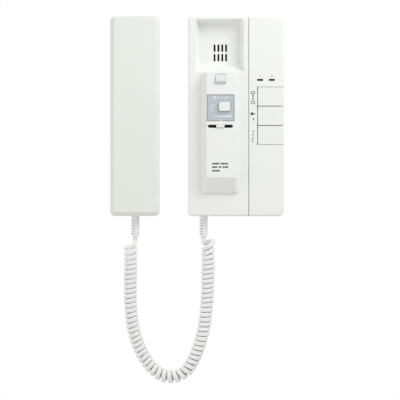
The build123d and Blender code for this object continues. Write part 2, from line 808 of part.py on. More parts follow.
# Panel cover: the right front shell, open where the keys wrap over its edge
key_left = 21.2
key_field_low = -28.6
key_field_high = 29.4
key_count = 3
key_slit = 0.7
key_side_slit = 0.85
key_travel = 1.2
key_skirt = 9.5  # how far the keys reach down the station's side
key_wall = 1.8
key_lip = 1.6
key_lip_thickness = 1.2
lens_z = 36.3
lens_left_x = 24.1
lens_pitch = 11.7
lens_places = [lens_left_x, lens_left_x + lens_pitch]
lens_width = 6.0
lens_height = 2.0
lens_fit = 0.1

panel_outer = station_form & panel_side
panel_hollow_side = slab(panel_edge + wall, base_width, -base_height, base_height, zero,
                         base_width)
panel_hollow = station_hollow & panel_hollow_side
panel_cover = panel_outer - panel_hollow
for x, z in panel_bosses:
    panel_cover += cover_boss(x, z)
key_skirt_back = deck_depth - key_skirt
key_opening = slab(key_left, base_width, key_field_low, key_field_high,
                   key_skirt_back - key_travel - gap, deck_depth + overrun)
panel_cover -= key_opening
for x in lens_places:
    panel_cover -= slab(x - lens_width / 2, x + lens_width / 2, lens_z - lens_height / 2,
                        lens_z + lens_height / 2, deck_inside - overrun, deck_depth + overrun)
keep("panel_cover", panel_cover)

# Keys: pieces of the same outer form, each with a stem down to its switch
key_pitch = (key_field_high - key_field_low) / key_count
key_names = ["lower_key", "middle_key", "upper_key"]
key_stem_x = 33.0
key_stem_width = 5.0
key_stem_web = 1.2
key_switch_face = board_front + switch_height + switch_plunger_radius / 2
key_stem_end = key_switch_face + key_travel + press_gap
key_switches = []
for place, name in enumerate(key_names):
    low = key_field_low + place * key_pitch + key_slit / 2
    high = low + key_pitch - key_slit
    middle = (low + high) / 2
    key_block = slab(key_left + key_side_slit, base_width, low, high, key_skirt_back,
                     deck_depth + overrun)
    key = station_form & key_block
    key -= slab(key_left + key_side_slit + key_wall, half_width - key_wall, low + key_wall,
                high - key_wall, zero, deck_depth - key_wall)
    key += slab(key_stem_x - key_stem_width / 2, key_stem_x + key_stem_width / 2,
                middle - key_stem_web / 2, middle + key_stem_web / 2,
                key_stem_end, deck_depth - key_wall)
    key += slab(key_stem_x - key_stem_web / 2, key_stem_x + key_stem_web / 2,
                middle - key_stem_width / 2, middle + key_stem_width / 2,
                key_stem_end, deck_depth - key_wall)
    key += slab(key_left - key_lip, key_left + key_side_slit + key_wall, low + key_wall,
                high - key_wall, deck_inside - gap - key_lip_thickness, deck_inside - gap)
    keep(name, key)
    key_switches.append(push_switch(key_stem_x, middle, board_front, key_switch_face))
keep("key_switches", *key_switches)

# Indicator windows, lamps and the tubes that hold the lamps up to them
lens_flange = 1.0
lens_flange_thickness = 0.8
lamp_radius = 1.5
lamp_rim_radius = 1.9
lamp_length = 4.4
lamp_rim = 1.0
lamp_dome = 1.2
lamp_spacer_radius = 2.5
lens_back = deck_inside - lens_flange_thickness
lenses = []
lamps = []
spacers = []
for x in lens_places:
    lens = slab(x - lens_width / 2 + lens_fit, x + lens_width / 2 - lens_fit,
                lens_z - lens_height / 2 + lens_fit, lens_z + lens_height / 2 - lens_fit,
                lens_back, deck_depth)
    lens += slab(x - lens_width / 2 - lens_flange, x + lens_width / 2 + lens_flange,
                 lens_z - lens_height / 2 - lens_flange, lens_z + lens_height / 2 + lens_flange,
                 lens_back, deck_inside)
    lenses.append(lens)
    lamp_back = lens_back - gap - lamp_length
    lamp = rod(x, lens_z, lamp_rim_radius, lamp_back, lamp_back + lamp_rim)
    dome = rod(x, lens_z, lamp_radius, lamp_back + lamp_rim, lens_back - gap)
    dome = chamfer(dome.faces().sort_by(Axis.Y)[0].edges(), lamp_dome)
    lamps.append(lamp + dome)
    spacers.append(rod(x, lens_z, lamp_spacer_radius, board_front, lamp_back))
keep("indicator_windows", *lenses)
keep("indicator_lamps", *lamps)
keep("lamp_spacers", *spacers)

# Station end of the cord
keep("base_cord_boot", cord_boot(base_cord_x, -half_height, wall))

# Handset: two shells that part at the depth of the cord
handset_split = cord_depth
trough_gap = 0.3
trough_wall = 1.8
trough_half = handset_half - handset_wall - trough_gap
channel_half = trough_half - trough_wall
cap_clear = 1.0  # between the ear cap and the low edge of the recess
foot_clear = 1.0  # between the channel and the post's foot
channel_high = pocket_low + cap_clear
channel_low = post_foot_low - foot_clear
channel_corner = 3.0
ear_cap_gap = 0.8  # between the cap and the walls of the recess it hangs in
ear_cap_half = pocket_width / 2 - ear_cap_gap
ear_cap_high = pocket_high - ear_cap_gap
ear_cap_low = channel_high
cap_corner = 3.5
cap_soft_edge = 1.2


def handset_outline(depth, inset=zero):
    corner = max(handset_corner - inset, soft_edge)
    return outline(handset_x - handset_half + inset, handset_x + handset_half - inset,
                   -handset_end + inset, handset_end - inset, depth, corner)


def handset_back(inset=zero):
    """The outer shell's form: a block whose front is bowed from end to end."""
    end = handset_end + overrun
    face = handset_front - inset
    fall = handset_bow * (end / handset_end) ** 2
    bow = ThreePointArc((face - fall, -end), (face, zero), (face - fall, end))
    bow += Polyline((face - fall, end), (zero, end), (zero, -end), (face - fall, -end))
    bowed = extrude(make_face(side(handset_x) * bow), base_width, both=True)
    return extrude(handset_outline(handset_split, inset), handset_front) & bowed


outer_form = handset_back()
outer_rim = outer_form.faces().sort_by(Axis.Y)[0].edges()
outer_form = chamfer(outer_rim, handset_bevel)
hollow_bevel_share = 0.9  # of the hollow's corner, at the most
hollow_corner = max(handset_corner - handset_wall, soft_edge)
even_bevel = handset_bevel - handset_wall * (2 - math.sqrt(2))  # keeps the wall even
hollow_bevel = min(even_bevel, hollow_corner * hollow_bevel_share)
outer_hollow = handset_back(handset_wall)
hollow_rim = outer_hollow.faces().sort_by(Axis.Y)[0].edges()
outer_hollow = chamfer(hollow_rim, hollow_bevel)
handset_outer_shell = outer_form - outer_hollow

skirt = extrude(handset_outline(handset_rim), handset_split - handset_rim)


def ear_cap(inset=zero):
    """The cap that hangs in the recess, or with inset the hollow inside its walls."""
    left = handset_x - ear_cap_half + inset
    right = handset_x + ear_cap_half - inset
    low = ear_cap_low + inset
    high = ear_cap_high - inset
    base = outline(left, right, low, high, handset_rim + inset, cap_corner)
    face = outline(left + pocket_side_run, right - pocket_side_run, low + pocket_ramp_run,
                   high - pocket_top_run, handset_stand + inset, cap_corner)
    return loft([face, base], ruled=True)


ear_form = ear_cap()
ear_face = ear_form.faces().sort_by(Axis.Y)[-1].edges()
ear_form = fillet(ear_face, cap_soft_edge)
trough = slab(handset_x - trough_half, handset_x + trough_half, channel_low - trough_wall,
              channel_high + trough_wall, handset_split, channel_floor + trough_wall,
              channel_corner + trough_wall)
channel = slab(handset_x - channel_half, handset_x + channel_half, channel_low, channel_high,
               handset_rim - overrun, channel_floor, channel_corner)
ear_hollow = ear_cap(handset_wall) + slab(
    handset_x - ear_cap_half + handset_wall, handset_x + ear_cap_half - handset_wall,
    channel_high + trough_wall, ear_cap_high - handset_wall, handset_rim + handset_wall,
    handset_split + overrun, cap_corner)
mouth_low = -handset_end + handset_wall
mouth_hollow = slab(handset_x - trough_half + trough_gap, handset_x + trough_half - trough_gap,
                    mouth_low, channel_low - trough_wall, handset_rim + handset_wall,
                    handset_split + overrun, soft_edge)
handset_inner_shell = skirt + ear_form + trough - channel - ear_hollow - mouth_hollow

# Screws through the grip floor into bosses of the outer shell
grip_screw_inset = 12.0
grip_screw_z = [channel_high - grip_screw_inset, channel_low + grip_screw_inset]
grip_boss_radius = 3.4
grip_boss_rise = 3.2
grip_screw_length = 8.0
outer_inside = handset_front - handset_wall - handset_bow
grip_boss_top = channel_floor + trough_wall + grip_boss_rise
grip_seat = channel_floor + cover_screw_head_height + gap
for z in grip_screw_z:
    handset_inner_shell += rod(handset_x, z, grip_boss_radius, channel_floor, grip_boss_top)
    handset_inner_shell -= rod(handset_x, z, cover_screw_head + gap, channel_floor - overrun,
                               grip_seat)
    handset_inner_shell -= rod(handset_x, z, cover_screw_radius + gap, channel_floor,
                               grip_boss_top + overrun)
    boss = rod(handset_x, z, grip_boss_radius, grip_boss_top, outer_inside + handset_wall)
    boss -= rod(handset_x, z, cover_screw_radius + thread_gap, channel_floor,
                grip_seat + grip_screw_length)
    handset_outer_shell += boss & handset_back()
handset_cord_hole = extrude(
    Plane(origin=(handset_x, -cord_depth, -handset_end - overrun)) * Circle(boot_hole_radius),
    handset_wall + 2 * overrun)
handset_outer_shell -= handset_cord_hole
handset_inner_shell -= handset_cord_hole

# Holes to speak and listen through
receiver_z = (ear_cap_low + pocket_ramp_run + ear_cap_high - pocket_top_run) / 2
receiver_hole_radius = 1.2
receiver_ring_radius = 6.5
receiver_ring_count = 6
mouth_z = (mouth_low + boot_flange + channel_low - trough_wall) / 2
handset_inner_shell -= rod(handset_x, receiver_z, receiver_hole_radius, zero, handset_rim)
for place in range(receiver_ring_count):
    turn = 2 * math.pi * place / receiver_ring_count
    handset_inner_shell -= rod(handset_x + receiver_ring_radius * math.cos(turn),
                               receiver_z + receiver_ring_radius * math.sin(turn),
                               receiver_hole_radius, zero, handset_rim)
mouth_slot_width = 1.4
mouth_slot_length = 6.0
mouth_slot = SlotOverall(mouth_slot_length, mouth_slot_width)
handset_inner_shell -= extrude(front(handset_rim - overrun, handset_x, mouth_z) * mouth_slot,
                               2 * overrun)

# Receiver and microphone, each in a ring moulded inside its cap
receiver_radius = 15.5
receiver_height = 8.0
receiver_pad_thickness = 0.8
receiver_pad_inner = 10.0
ring_wall = 1.2
receiver_seat = handset_stand + handset_wall
receiver_back = receiver_seat + receiver_pad_thickness
receiver_ring = rod(handset_x, receiver_z, receiver_radius + gap + ring_wall, receiver_seat,
                    receiver_back + receiver_height / 2)
receiver_ring -= rod(handset_x, receiver_z, receiver_radius + gap, zero, handset_front)
handset_inner_shell += receiver_ring & ear_cap(handset_wall)
keep("receiver_pad", turned(
    handset_x, receiver_z,
    (receiver_pad_inner, receiver_seat), (receiver_radius, receiver_seat),
    (receiver_radius, receiver_back), (receiver_pad_inner, receiver_back)))
capsule_step = 1.6
capsule_hub_radius = 6.0
keep("receiver_capsule", turned(
    handset_x, receiver_z,
    (zero, receiver_back), (receiver_radius, receiver_back),
    (receiver_radius, receiver_back + receiver_height - 2 * capsule_step),
    (receiver_radius - capsule_step, receiver_back + receiver_height - capsule_step),
    (capsule_hub_radius, receiver_back + receiver_height - capsule_step),
    (capsule_hub_radius, receiver_back + receiver_height),
    (zero, receiver_back + receiver_height)))

microphone_radius = 4.9
microphone_height = 4.5
sleeve_wall = 1.2
sleeve_floor = 1.0
sleeve_hole_radius = 2.0
sleeve_radius = microphone_radius + sleeve_wall
microphone_seat = handset_rim + handset_wall
sleeve_front = microphone_seat + sleeve_floor + microphone_height + sleeve_floor
microphone_ring = rod(handset_x, mouth_z, sleeve_radius + thread_gap + ring_wall,
                      microphone_seat, microphone_seat + microphone_height / 2)
microphone_ring -= rod(handset_x, mouth_z, sleeve_radius + thread_gap, zero, handset_front)
handset_inner_shell += microphone_ring
keep("handset_inner_shell", handset_inner_shell)
keep("handset_outer_shell", handset_outer_shell)
keep("microphone_sleeve", turned(
    handset_x, mouth_z,
    (sleeve_hole_radius, microphone_seat), (sleeve_radius, microphone_seat),
    (sleeve_radius, sleeve_front), (microphone_radius, sleeve_front),
    (microphone_radius, microphone_seat + sleeve_floor),
    (sleeve_hole_radius, microphone_seat + sleeve_floor)))
keep("microphone_capsule", rod(handset_x, mouth_z, microphone_radius,
                               microphone_seat + sleeve_floor,
                               microphone_seat + sleeve_floor + microphone_height))

keep("handset_screws", *[
    screw(handset_x, z, cover_screw_head, cover_screw_head_height, cover_screw_radius,
          grip_seat, grip_seat + grip_screw_length - gap)
    for z in grip_screw_z])

# Steel weight taped inside the grip
weight_width = 26.0
weight_length = 58.0
weight_thickness = 4.0
weight_back = channel_floor + trough_wall
keep("handset_weight", slab(
    handset_x - weight_width / 2, handset_x + weight_width / 2,
    -weight_length / 2, weight_length / 2, weight_back, weight_back + weight_thickness,
    board_corner))

keep("handset_cord_boot", cord_boot(handset_x, -handset_end, handset_wall))

# Curly cord. The route is the middle line of the coil, in X and Z at the depth of the cord.
wire_radius = wire_diameter / 2
coil_high = -half_height - boot_length - wire_diameter
cord_route = [
    (handset_x - curl_radius, coil_high),
    (-105.9, -142.5),
    (-106.4, -162.5),
    (-106.4, -184.0),
    (-105.3, -204.0),
    (-101.6, -221.5),
    (-95.8, -236.6),
    (-89.6, -247.2),
    (-82.4, -255.9),
    (-73.2, -261.9),
    (-62.6, -263.4),
    (-52.9, -259.3),
    (-45.7, -251.0),
    (-40.3, -240.2),
    (-35.6, -227.0),
    (-31.6, -211.0),
    (-29.2, -191.5),
    (-28.1, -169.5),
    (-27.75, -146.5),
    (base_cord_x + curl_radius, coil_high),
]
bend_share = 0.45
bends = []
for before, here, after in zip(cord_route, cord_route[1:], cord_route[2:]):
    run_in = Vector(here) - Vector(before)
    run_out = Vector(after) - Vector(here)
    half_turn = math.radians(run_in.get_angle(run_out)) / 2
    bends.append(bend_share * min(run_in.length, run_out.length) / math.tan(half_turn))
print("cord route radii:", " ".join(f"{bend:.0f}" for bend in bends))
route_points = [(x, -cord_depth, z) for x, z in cord_route]
middle_line = FilletPolyline(*route_points, radius=bends)
route_length = middle_line.length

# Turns come closer on the inside of a bend, so the climb of a turn follows the bend there
climb = wire_diameter + curl_gap
slope = climb / (2 * math.pi * curl_radius)
climb = climb * math.sqrt(1 + slope ** 2)
lead_length = 10.5  # over which the wire turns from straight down into the coil
step_length = 0.25
step_count = round(route_length / step_length)
into_room = Vector(0, -1, 0)


def lead_share(s):
    """How far the winding has got up to its full rate, smoothly from each end."""
    near = min(s, route_length - s) / lead_length
    if near >= 1:
        return 1.0
    return max(near, zero) ** 2 * (3 - 2 * max(near, zero))


def route_at(s):
    """Place and direction of the middle line, a length along it."""
    share = min(max(s / route_length, zero), 1)
    return middle_line @ share, middle_line % share


def bend_at(s):
    """How sharply the middle line turns, as one over its radius."""
    back, forth = s - wire_radius, s + wire_radius
    if back < zero or forth > route_length:
        return zero
    angle = (middle_line % (back / route_length)).get_angle(middle_line % (forth / route_length))
    return math.radians(angle) / wire_diameter


winding = [zero]
for step in range(step_count):
    s = (step + 0.5) * route_length / step_count
    rate = 2 * math.pi / climb * (1 - curl_radius * bend_at(s))
    winding.append(winding[-1] + rate * lead_share(s) * route_length / step_count)
whole_turns_count = round(winding[-1] / math.pi / 2)
winding = [turn * whole_turns_count * 2 * math.pi / winding[-1] for turn in winding]
print(f"curls: {whole_turns_count}")


def wire_at(s):
    """A point of the wire's middle, a length along the coil's middle line."""
    place, ahead = route_at(s)
    across = into_room.cross(ahead)
    at = min(max(s / route_length, zero), 1) * step_count
    low = min(int(at), step_count - 1)
    turn = winding[low] + (winding[low + 1] - winding[low]) * (at - low)
    return place + across * curl_radius * math.cos(turn) + into_room * curl_radius * math.sin(turn)


def wire_heading(s):
    nudge = step_length / 4
    low = max(s - nudge, zero)
    high = min(s + nudge, route_length)
    return (wire_at(high) - wire_at(low)).normalized()


# Stations a quarter turn apart, each joined to the next by two arcs
quarter = math.pi / 2
quarters_count = 4 * whole_turns_count
stations = [zero]
step = 0
for place in range(1, quarters_count):
    while winding[step] < quarter * place:
        step += 1
    part = (quarter * place - winding[step - 1]) / (winding[step] - winding[step - 1])
    stations.append((step - 1 + part) * route_length / step_count)
stations.append(route_length)
down = Vector(0, 0, -1)
boot_end = Vector(handset_x, -cord_depth, -half_height - boot_length)
base_end = Vector(base_cord_x, -cord_depth, -half_height - boot_length)
points = [wire_at(s) for s in stations]
headings = [wire_heading(s) for s in stations]
headings[0] = down
headings[-1] = -down
edges = [Line(boot_end, points[0])]
tightest = route_length
for p, q, t, u in zip(points, points[1:], headings, headings[1:]):
    chord = q - p
    both = t + u
    a = 2 * (1 - t.dot(u))
    b = chord.dot(both)
    reach = (math.sqrt(b * b + a * chord.dot(chord)) - b) / a
    knot = (p + q + (t - u) * reach) * 0.5
    first = Edge.make_tangent_arc(p, t, knot)
    second = Edge.make_tangent_arc(knot, first % 1, q)
    edges += [first, second]
    tightest = min(tightest, first.radius, second.radius)
edges.append(Line(points[-1], base_end))
wire_line = Wire(edges)
section = Plane(origin=boot_end, x_dir=(1, 0, 0), z_dir=(0, 0, -1)) * RegularPolygon(
    wire_radius, wire_sides_count)
curly_cord = sweep(section, path=wire_line, clean=False)
print(f"wire length {wire_line.length:.0f}, tightest arc {tightest:.2f}, "
      f"volume over section times length {curly_cord.volume / section.area / wire_line.length:.4f}")
look_count = round(wire_line.length / (wire_radius / 2))
look = [wire_line @ (place / look_count) for place in range(look_count + 1)]
look_step = wire_line.length / look_count
curl_length = 2 * math.pi * curl_radius
skip_count = round(curl_length / 2 / look_step)
span_count = round(3 * curl_length / look_step)
least = min((look[i] - look[j]).length for i in range(len(look))
            for j in range(i + skip_count, min(i + span_count, len(look))))
print(f"least gap of the cord to itself {least - wire_diameter:.2f}")
keep("curly_cord", curly_cord)
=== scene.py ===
import math

import bpy
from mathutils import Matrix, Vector


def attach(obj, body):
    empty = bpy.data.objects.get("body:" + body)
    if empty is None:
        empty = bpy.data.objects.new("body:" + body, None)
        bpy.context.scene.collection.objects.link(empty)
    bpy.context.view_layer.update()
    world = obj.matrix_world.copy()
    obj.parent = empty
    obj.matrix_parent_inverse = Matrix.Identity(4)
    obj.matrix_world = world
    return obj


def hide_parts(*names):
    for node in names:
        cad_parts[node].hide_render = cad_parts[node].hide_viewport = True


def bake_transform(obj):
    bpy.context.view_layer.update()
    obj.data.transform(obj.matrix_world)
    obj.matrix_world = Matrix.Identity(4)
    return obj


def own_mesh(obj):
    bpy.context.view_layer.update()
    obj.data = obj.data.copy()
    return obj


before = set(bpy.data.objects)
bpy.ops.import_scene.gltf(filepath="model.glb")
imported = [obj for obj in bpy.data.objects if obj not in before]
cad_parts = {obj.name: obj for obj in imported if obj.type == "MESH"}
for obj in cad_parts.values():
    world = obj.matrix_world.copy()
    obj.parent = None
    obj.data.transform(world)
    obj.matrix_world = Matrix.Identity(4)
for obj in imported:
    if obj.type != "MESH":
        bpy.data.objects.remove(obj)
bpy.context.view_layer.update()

# Camera: square on to the wall and 1.4 m in front of the station's deck, a little above the
# station's foot, which is how the photograph sees the station and the handset beside it.
deck_depth = 0.034
camera_x = -0.036
camera_z = -0.0838
camera_stand = 1.4
picture_width = 0.4
camera_data = bpy.data.cameras.new("camera")
camera_data.sensor_width = 36.0
camera_data.lens = camera_data.sensor_width * camera_stand / picture_width
camera = bpy.data.objects.new("camera", camera_data)
camera.location = (camera_x, -deck_depth - camera_stand, camera_z)
camera.rotation_euler = (math.radians(90), 0, 0)
bpy.context.collection.objects.link(camera)
bpy.context.scene.camera = camera
bpy.context.scene.view_settings.view_transform = "Standard"


def link(tree, source, output, target, place):
    """Joins an output to an input, either of them by name or by number."""
    tree.links.new(source.outputs[output], target.inputs[place])


# White surroundings: a world that is plain white to the camera and gives an even soft light, a
# near soft lamp at the right that fades across the wall, as daylight from a window does, weaker
# ones at the left and behind, and a pale floor that keeps the shadow.
even_tint = (1.0, 0.995, 0.965, 1)
even_strength = 0.60
world = bpy.data.worlds.new("studio")
bpy.context.scene.world = world
world.use_nodes = True
tree = world.node_tree
tree.nodes.clear()
even = tree.nodes.new("ShaderNodeBackground")
even.inputs["Color"].default_value = even_tint
even.inputs["Strength"].default_value = even_strength
seen = tree.nodes.new("ShaderNodeBackground")
seen.inputs["Color"].default_value = (1, 1, 1, 1)
seen.inputs["Strength"].default_value = 1.0
rays = tree.nodes.new("ShaderNodeLightPath")
either = tree.nodes.new("ShaderNodeMath")
either.operation = "MAXIMUM"
any_of = tree.nodes.new("ShaderNodeMath")
any_of.operation = "MAXIMUM"
link(tree, rays, "Is Camera Ray", either, 0)
link(tree, rays, "Is Glossy Ray", either, 1)
link(tree, either, 0, any_of, 0)
link(tree, rays, "Is Transmission Ray", any_of, 1)
choose = tree.nodes.new("ShaderNodeMixShader")
link(tree, any_of, 0, choose, 0)
link(tree, even, 0, choose, 1)
link(tree, seen, 0, choose, 2)
world_out = tree.nodes.new("ShaderNodeOutputWorld")
link(tree, choose, 0, world_out, 0)

middle = Vector((camera_x, -deck_depth, camera_z))
for name, place, size, watts, tint in (
    ("window_lamp", (0.40, -0.46, 0.48), 0.45, 3.3, (0.94, 0.98, 1.0)),
    ("fill_lamp", (-0.70, -0.55, -0.10), 0.9, 1.7, (1.0, 0.99, 0.95)),
    ("rear_lamp", (-1.3, 1.6, 0.7), 1.4, 9.0, (1.0, 1.0, 1.0)),
):
    lamp_data = bpy.data.lights.new(name, "AREA")
    lamp_data.size = size
    lamp_data.energy = watts
    lamp_data.color = tint
    lamp = bpy.data.objects.new(name, lamp_data)
    lamp.location = place
    lamp.rotation_euler = (Vector(place) - middle).to_track_quat("Z", "Y").to_euler()
    bpy.context.collection.objects.link(lamp)

floor_drop = 0.62
floor_width = 2.4
floor_tint = (0.86, 0.86, 0.86, 1)
floor_glow_share = 0.6
bpy.ops.object.select_all(action="DESELECT")
bpy.ops.mesh.primitive_plane_add(size=floor_width, location=(camera_x, 0, -floor_drop))
floor = bpy.context.object
floor.name = "floor"
paint = bpy.data.materials.new("pale_floor")
paint.use_nodes = True
tree = paint.node_tree
tree.nodes.clear()
matt = tree.nodes.new("ShaderNodeBsdfDiffuse")
matt.inputs["Color"].default_value = floor_tint
bright = tree.nodes.new("ShaderNodeEmission")
bright.inputs["Strength"].default_value = 1.0
rays = tree.nodes.new("ShaderNodeLightPath")
part = tree.nodes.new("ShaderNodeMath")
part.operation = "MULTIPLY"
part.inputs[1].default_value = floor_glow_share
link(tree, rays, "Is Camera Ray", part, 0)
choose = tree.nodes.new("ShaderNodeMixShader")
link(tree, part, 0, choose, 0)
link(tree, matt, 0, choose, 1)
link(tree, bright, 0, choose, 2)
out = tree.nodes.new("ShaderNodeOutputMaterial")
link(tree, choose, 0, out, 0)
floor.data.materials.append(paint)


# Curly cord: a PVC-sheathed wire, a little flattened where its curls meet, in 59 close curls that
# hang in a U from the two boots. The coil's middle line is a NURBS spline led by the points of the
# route, in metres, and the first curls below each boot are loose and slant.
handset_x = -0.1013
station_cord_x = -0.0324
cord_depth = 0.0195
boot_tip_z = -0.1202
handset_coil_z = -0.1256
station_coil_z = -0.1232
wire_width = 0.0044
wire_thickness = 0.0038
wire_squareness = 3.2
curl_radius = 0.0049
curl_gap = 0.0002
handset_lead = 0.0035
station_lead = 0.0035
loose_length = 0.024
loose_share = 0.36
handset_slant = 0.35
station_slant = 0.55
handset_dip = 0.4
station_dip = 0.1
into_room = Vector((0, -1, 0))
cord_route = [
    (handset_x - curl_radius, handset_coil_z),
    (-0.1059, -0.1425),
    (-0.1064, -0.1625),
    (-0.1064, -0.1840),
    (-0.1053, -0.2040),
    (-0.1016, -0.2215),
    (-0.0958, -0.2366),
    (-0.0896, -0.2472),
    (-0.0824, -0.2559),
    (-0.0732, -0.2613),
    (-0.0626, -0.2626),
    (-0.0529, -0.2591),
    (-0.0457, -0.2510),
    (-0.0403, -0.2402),
    (-0.0356, -0.2270),
    (-0.0316, -0.2110),
    (-0.0292, -0.1915),
    (-0.0281, -0.1695),
    (-0.02775, -0.1465),
    (station_cord_x + curl_radius, station_coil_z),
]


def spline_object(name, points, steps):
    """A curve of one open NURBS spline with these control points."""
    data = bpy.data.curves.new(name, "CURVE")
    data.dimensions = "3D"
    data.resolution_u = steps
    spline = data.splines.new("NURBS")
    spline.points.add(len(points) - 1)
    for knot, place in zip(spline.points, points):
        knot.co = (*place, 1)
    spline.order_u = 3
    spline.use_endpoint_u = True
    piece = bpy.data.objects.new(name, data)
    bpy.context.collection.objects.link(piece)
    return piece


def read_line(piece):
    """The points along a curve that has no bevel."""
    bpy.context.view_layer.update()
    mesh = bpy.data.meshes.new_from_object(piece)
    places = [vertex.co.copy() for vertex in mesh.vertices]
    bpy.data.meshes.remove(mesh)
    return places


route_steps = 24
route_curve = spline_object("cord_middle", [(x, -cord_depth, z) for x, z in cord_route],
                            route_steps)
route_line = read_line(route_curve)
bpy.data.objects.remove(route_curve)
reach = [0.0]
for one, two in zip(route_line, route_line[1:]):
    reach.append(reach[-1] + (two - one).length)
route_length = reach[-1]


def route_at(s):
    """Place and direction of the coil's middle line, a length along it."""
    s = min(max(s, 0.0), route_length)
    low, high = 0, len(reach) - 1
    while high - low > 1:
        mid = (low + high) // 2
        if reach[mid] <= s:
            low = mid
        else:
            high = mid
    share = (s - reach[low]) / (reach[high] - reach[low])
    before = route_line[max(low - 1, 0)]
    after = route_line[min(high + 1, len(route_line) - 1)]
    return route_line[low].lerp(route_line[high], share), (after - before).normalized()


def ease(share):
    """A smooth rise from nothing to one, and one past that."""
    share = min(share, 1.0)
    return share * share * (3 - 2 * share)


def looseness(s):
    """One at the cord's two ends, and nothing past their loose curls."""
    return 1 - ease(min(s, route_length - s) / loose_length)


# The winding turns at an even rate, but slower in a bend, where the curls would otherwise meet on
# the inside, and in the loose curls.
curl_climb = wire_width + curl_gap
curl_climb *= math.sqrt(1 + (curl_climb / (2 * math.pi * curl_radius)) ** 2)
turn_step = 0.0003
turn_steps = round(route_length / turn_step)
winding = [0.0]
for step in range(turn_steps):
    s = (step + 0.5) * route_length / turn_steps
    bend = route_at(s - wire_width / 2)[1].angle(route_at(s + wire_width / 2)[1]) / wire_width
    near = min(s / handset_lead, (route_length - s) / station_lead)
    rate = 2 * math.pi / curl_climb * (1 - curl_radius * bend) * ease(near)
    rate *= 1 - loose_share * looseness(s)
    winding.append(winding[-1] + rate * route_length / turn_steps)
curl_count = 59
winding = [turn * curl_count * 2 * math.pi / winding[-1] for turn in winding]
points_per_curl = 16
wire_points = [
    Vector((handset_x, -cord_depth, boot_tip_z + wire_width / 2)),
    Vector((handset_x, -cord_depth, boot_tip_z)),
    Vector((handset_x, -cord_depth, handset_coil_z + handset_slant * curl_radius)),
]
next_turn = 0.0
# The spline runs a little inside its points, so they are set out by as much.
shrink = math.cos(math.pi / points_per_curl) ** 0.5
for step, turn in enumerate(winding):
    if turn < next_turn:
        continue
    next_turn += 2 * math.pi / points_per_curl
    s = step * route_length / turn_steps
    place, ahead = route_at(s)
    across = into_room.cross(ahead)
    outward = across * math.cos(turn) + into_room * math.sin(turn)
    slant, dip = handset_slant, handset_dip
    if s > route_length / 2:
        slant, dip = station_slant, station_dip
    lean = looseness(s) * (slant * outward.x - dip * outward.dot(into_room))
    wire_points.append(place + (outward + Vector((0, 0, lean))) * curl_radius / shrink)
wire_points += [
    Vector((station_cord_x, -cord_depth, station_coil_z - station_slant * curl_radius)),
    Vector((station_cord_x, -cord_depth, boot_tip_z)),
    Vector((station_cord_x, -cord_depth, boot_tip_z + wire_width / 2)),
]
wire_steps = 3
wire_curve = spline_object("curly_wire", wire_points, wire_steps)
wire_line = read_line(wire_curve)
bpy.data.objects.remove(wire_curve)

# The sheath's section keeps its flat side towards the next curl, so each ring of the tube is
# turned by the way the wire bends there. On the straight ends it keeps the last turn.
section_points = 18
bend_reach = 5
facing_share = 0.5
section_shape = []
for place in range(section_points):
    turn = 2 * math.pi * place / section_points
    flat = [math.copysign(abs(value) ** (2 / wire_squareness), value)
            for value in (math.cos(turn), math.sin(turn))]
    section_shape.append((flat[0] * wire_thickness / 2, flat[1] * wire_width / 2))
last_ring = len(wire_line) - 1
ring_ahead = []
ring_bend = []
for ring in range(len(wire_line)):
    behind = wire_line[max(ring - 1, 0)]
    ring_ahead.append((wire_line[min(ring + 1, last_ring)] - behind).normalized())
    reach_here = min(bend_reach, ring, last_ring - ring)
    halfway = (wire_line[ring - reach_here] + wire_line[ring + reach_here]) / 2
    ring_bend.append(wire_line[ring] - halfway)
full_bend = max(bend.length for bend in ring_bend) / 2
first_curled = next(ring for ring, bend in enumerate(ring_bend) if bend.length > full_bend)
facing = ring_bend[first_curled].normalized()
ring_places = []
for here, ahead, bend in zip(wire_line, ring_ahead, ring_bend):
    share = facing_share * min(bend.length / full_bend, 1.0) ** 2
    facing = facing.lerp(bend.normalized(), share)
    facing = (facing - ahead * facing.dot(ahead)).normalized()
    beside = ahead.cross(facing)
    ring_places += [here + facing * thick + beside * wide for thick, wide in section_shape]
tube_faces = []
for ring in range(last_ring):
    for place in range(section_points):
        one = ring * section_points + place
        two = ring * section_points + (place + 1) % section_points
        tube_faces.append((one, two, two + section_points, one + section_points))
tube_faces.append(tuple(reversed(range(section_points))))
tube_faces.append(tuple(range(last_ring * section_points, (last_ring + 1) * section_points)))
tube = bpy.data.meshes.new("curly_wire_sheath")
tube.from_pydata(ring_places, [], tube_faces)
curly_wire = bpy.data.objects.new("curly_wire_sheath", tube)
bpy.context.collection.objects.link(curly_wire)
for face in curly_wire.data.polygons:
    face.use_smooth = True
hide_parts("curly_cord")
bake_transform(curly_wire)


def new_group(name, inputs, outputs):
    """An empty node group with its named sockets, and its two end nodes."""
    group = bpy.data.node_groups.new(name, "ShaderNodeTree")
    for socket, kind, value in inputs:
        made = group.interface.new_socket(socket, in_out="INPUT", socket_type=kind)
        made.default_value = value
    for socket, kind in outputs:
        group.interface.new_socket(socket, in_out="OUTPUT", socket_type=kind)
    return group, group.nodes.new("NodeGroupInput"), group.nodes.new("NodeGroupOutput")


def node(tree, kind, **settings):
    """A node with some of its settings, and numbers on its inputs where the name is an input's."""
    made = tree.nodes.new(kind)
    for name, value in settings.items():
        if hasattr(made, name):
            setattr(made, name, value)
        else:
            made.inputs[name.replace("_", " ")].default_value = value
    return made


def math_node(tree, operation, first, second):
    """Arithmetic on two things, each of them a number or an output."""
    made = node(tree, "ShaderNodeMath", operation=operation)
    for place, value in enumerate((first, second)):
        if isinstance(value, (int, float)):
            made.inputs[place].default_value = value
        else:
            tree.links.new(value, made.inputs[place])
    return made.outputs[0]


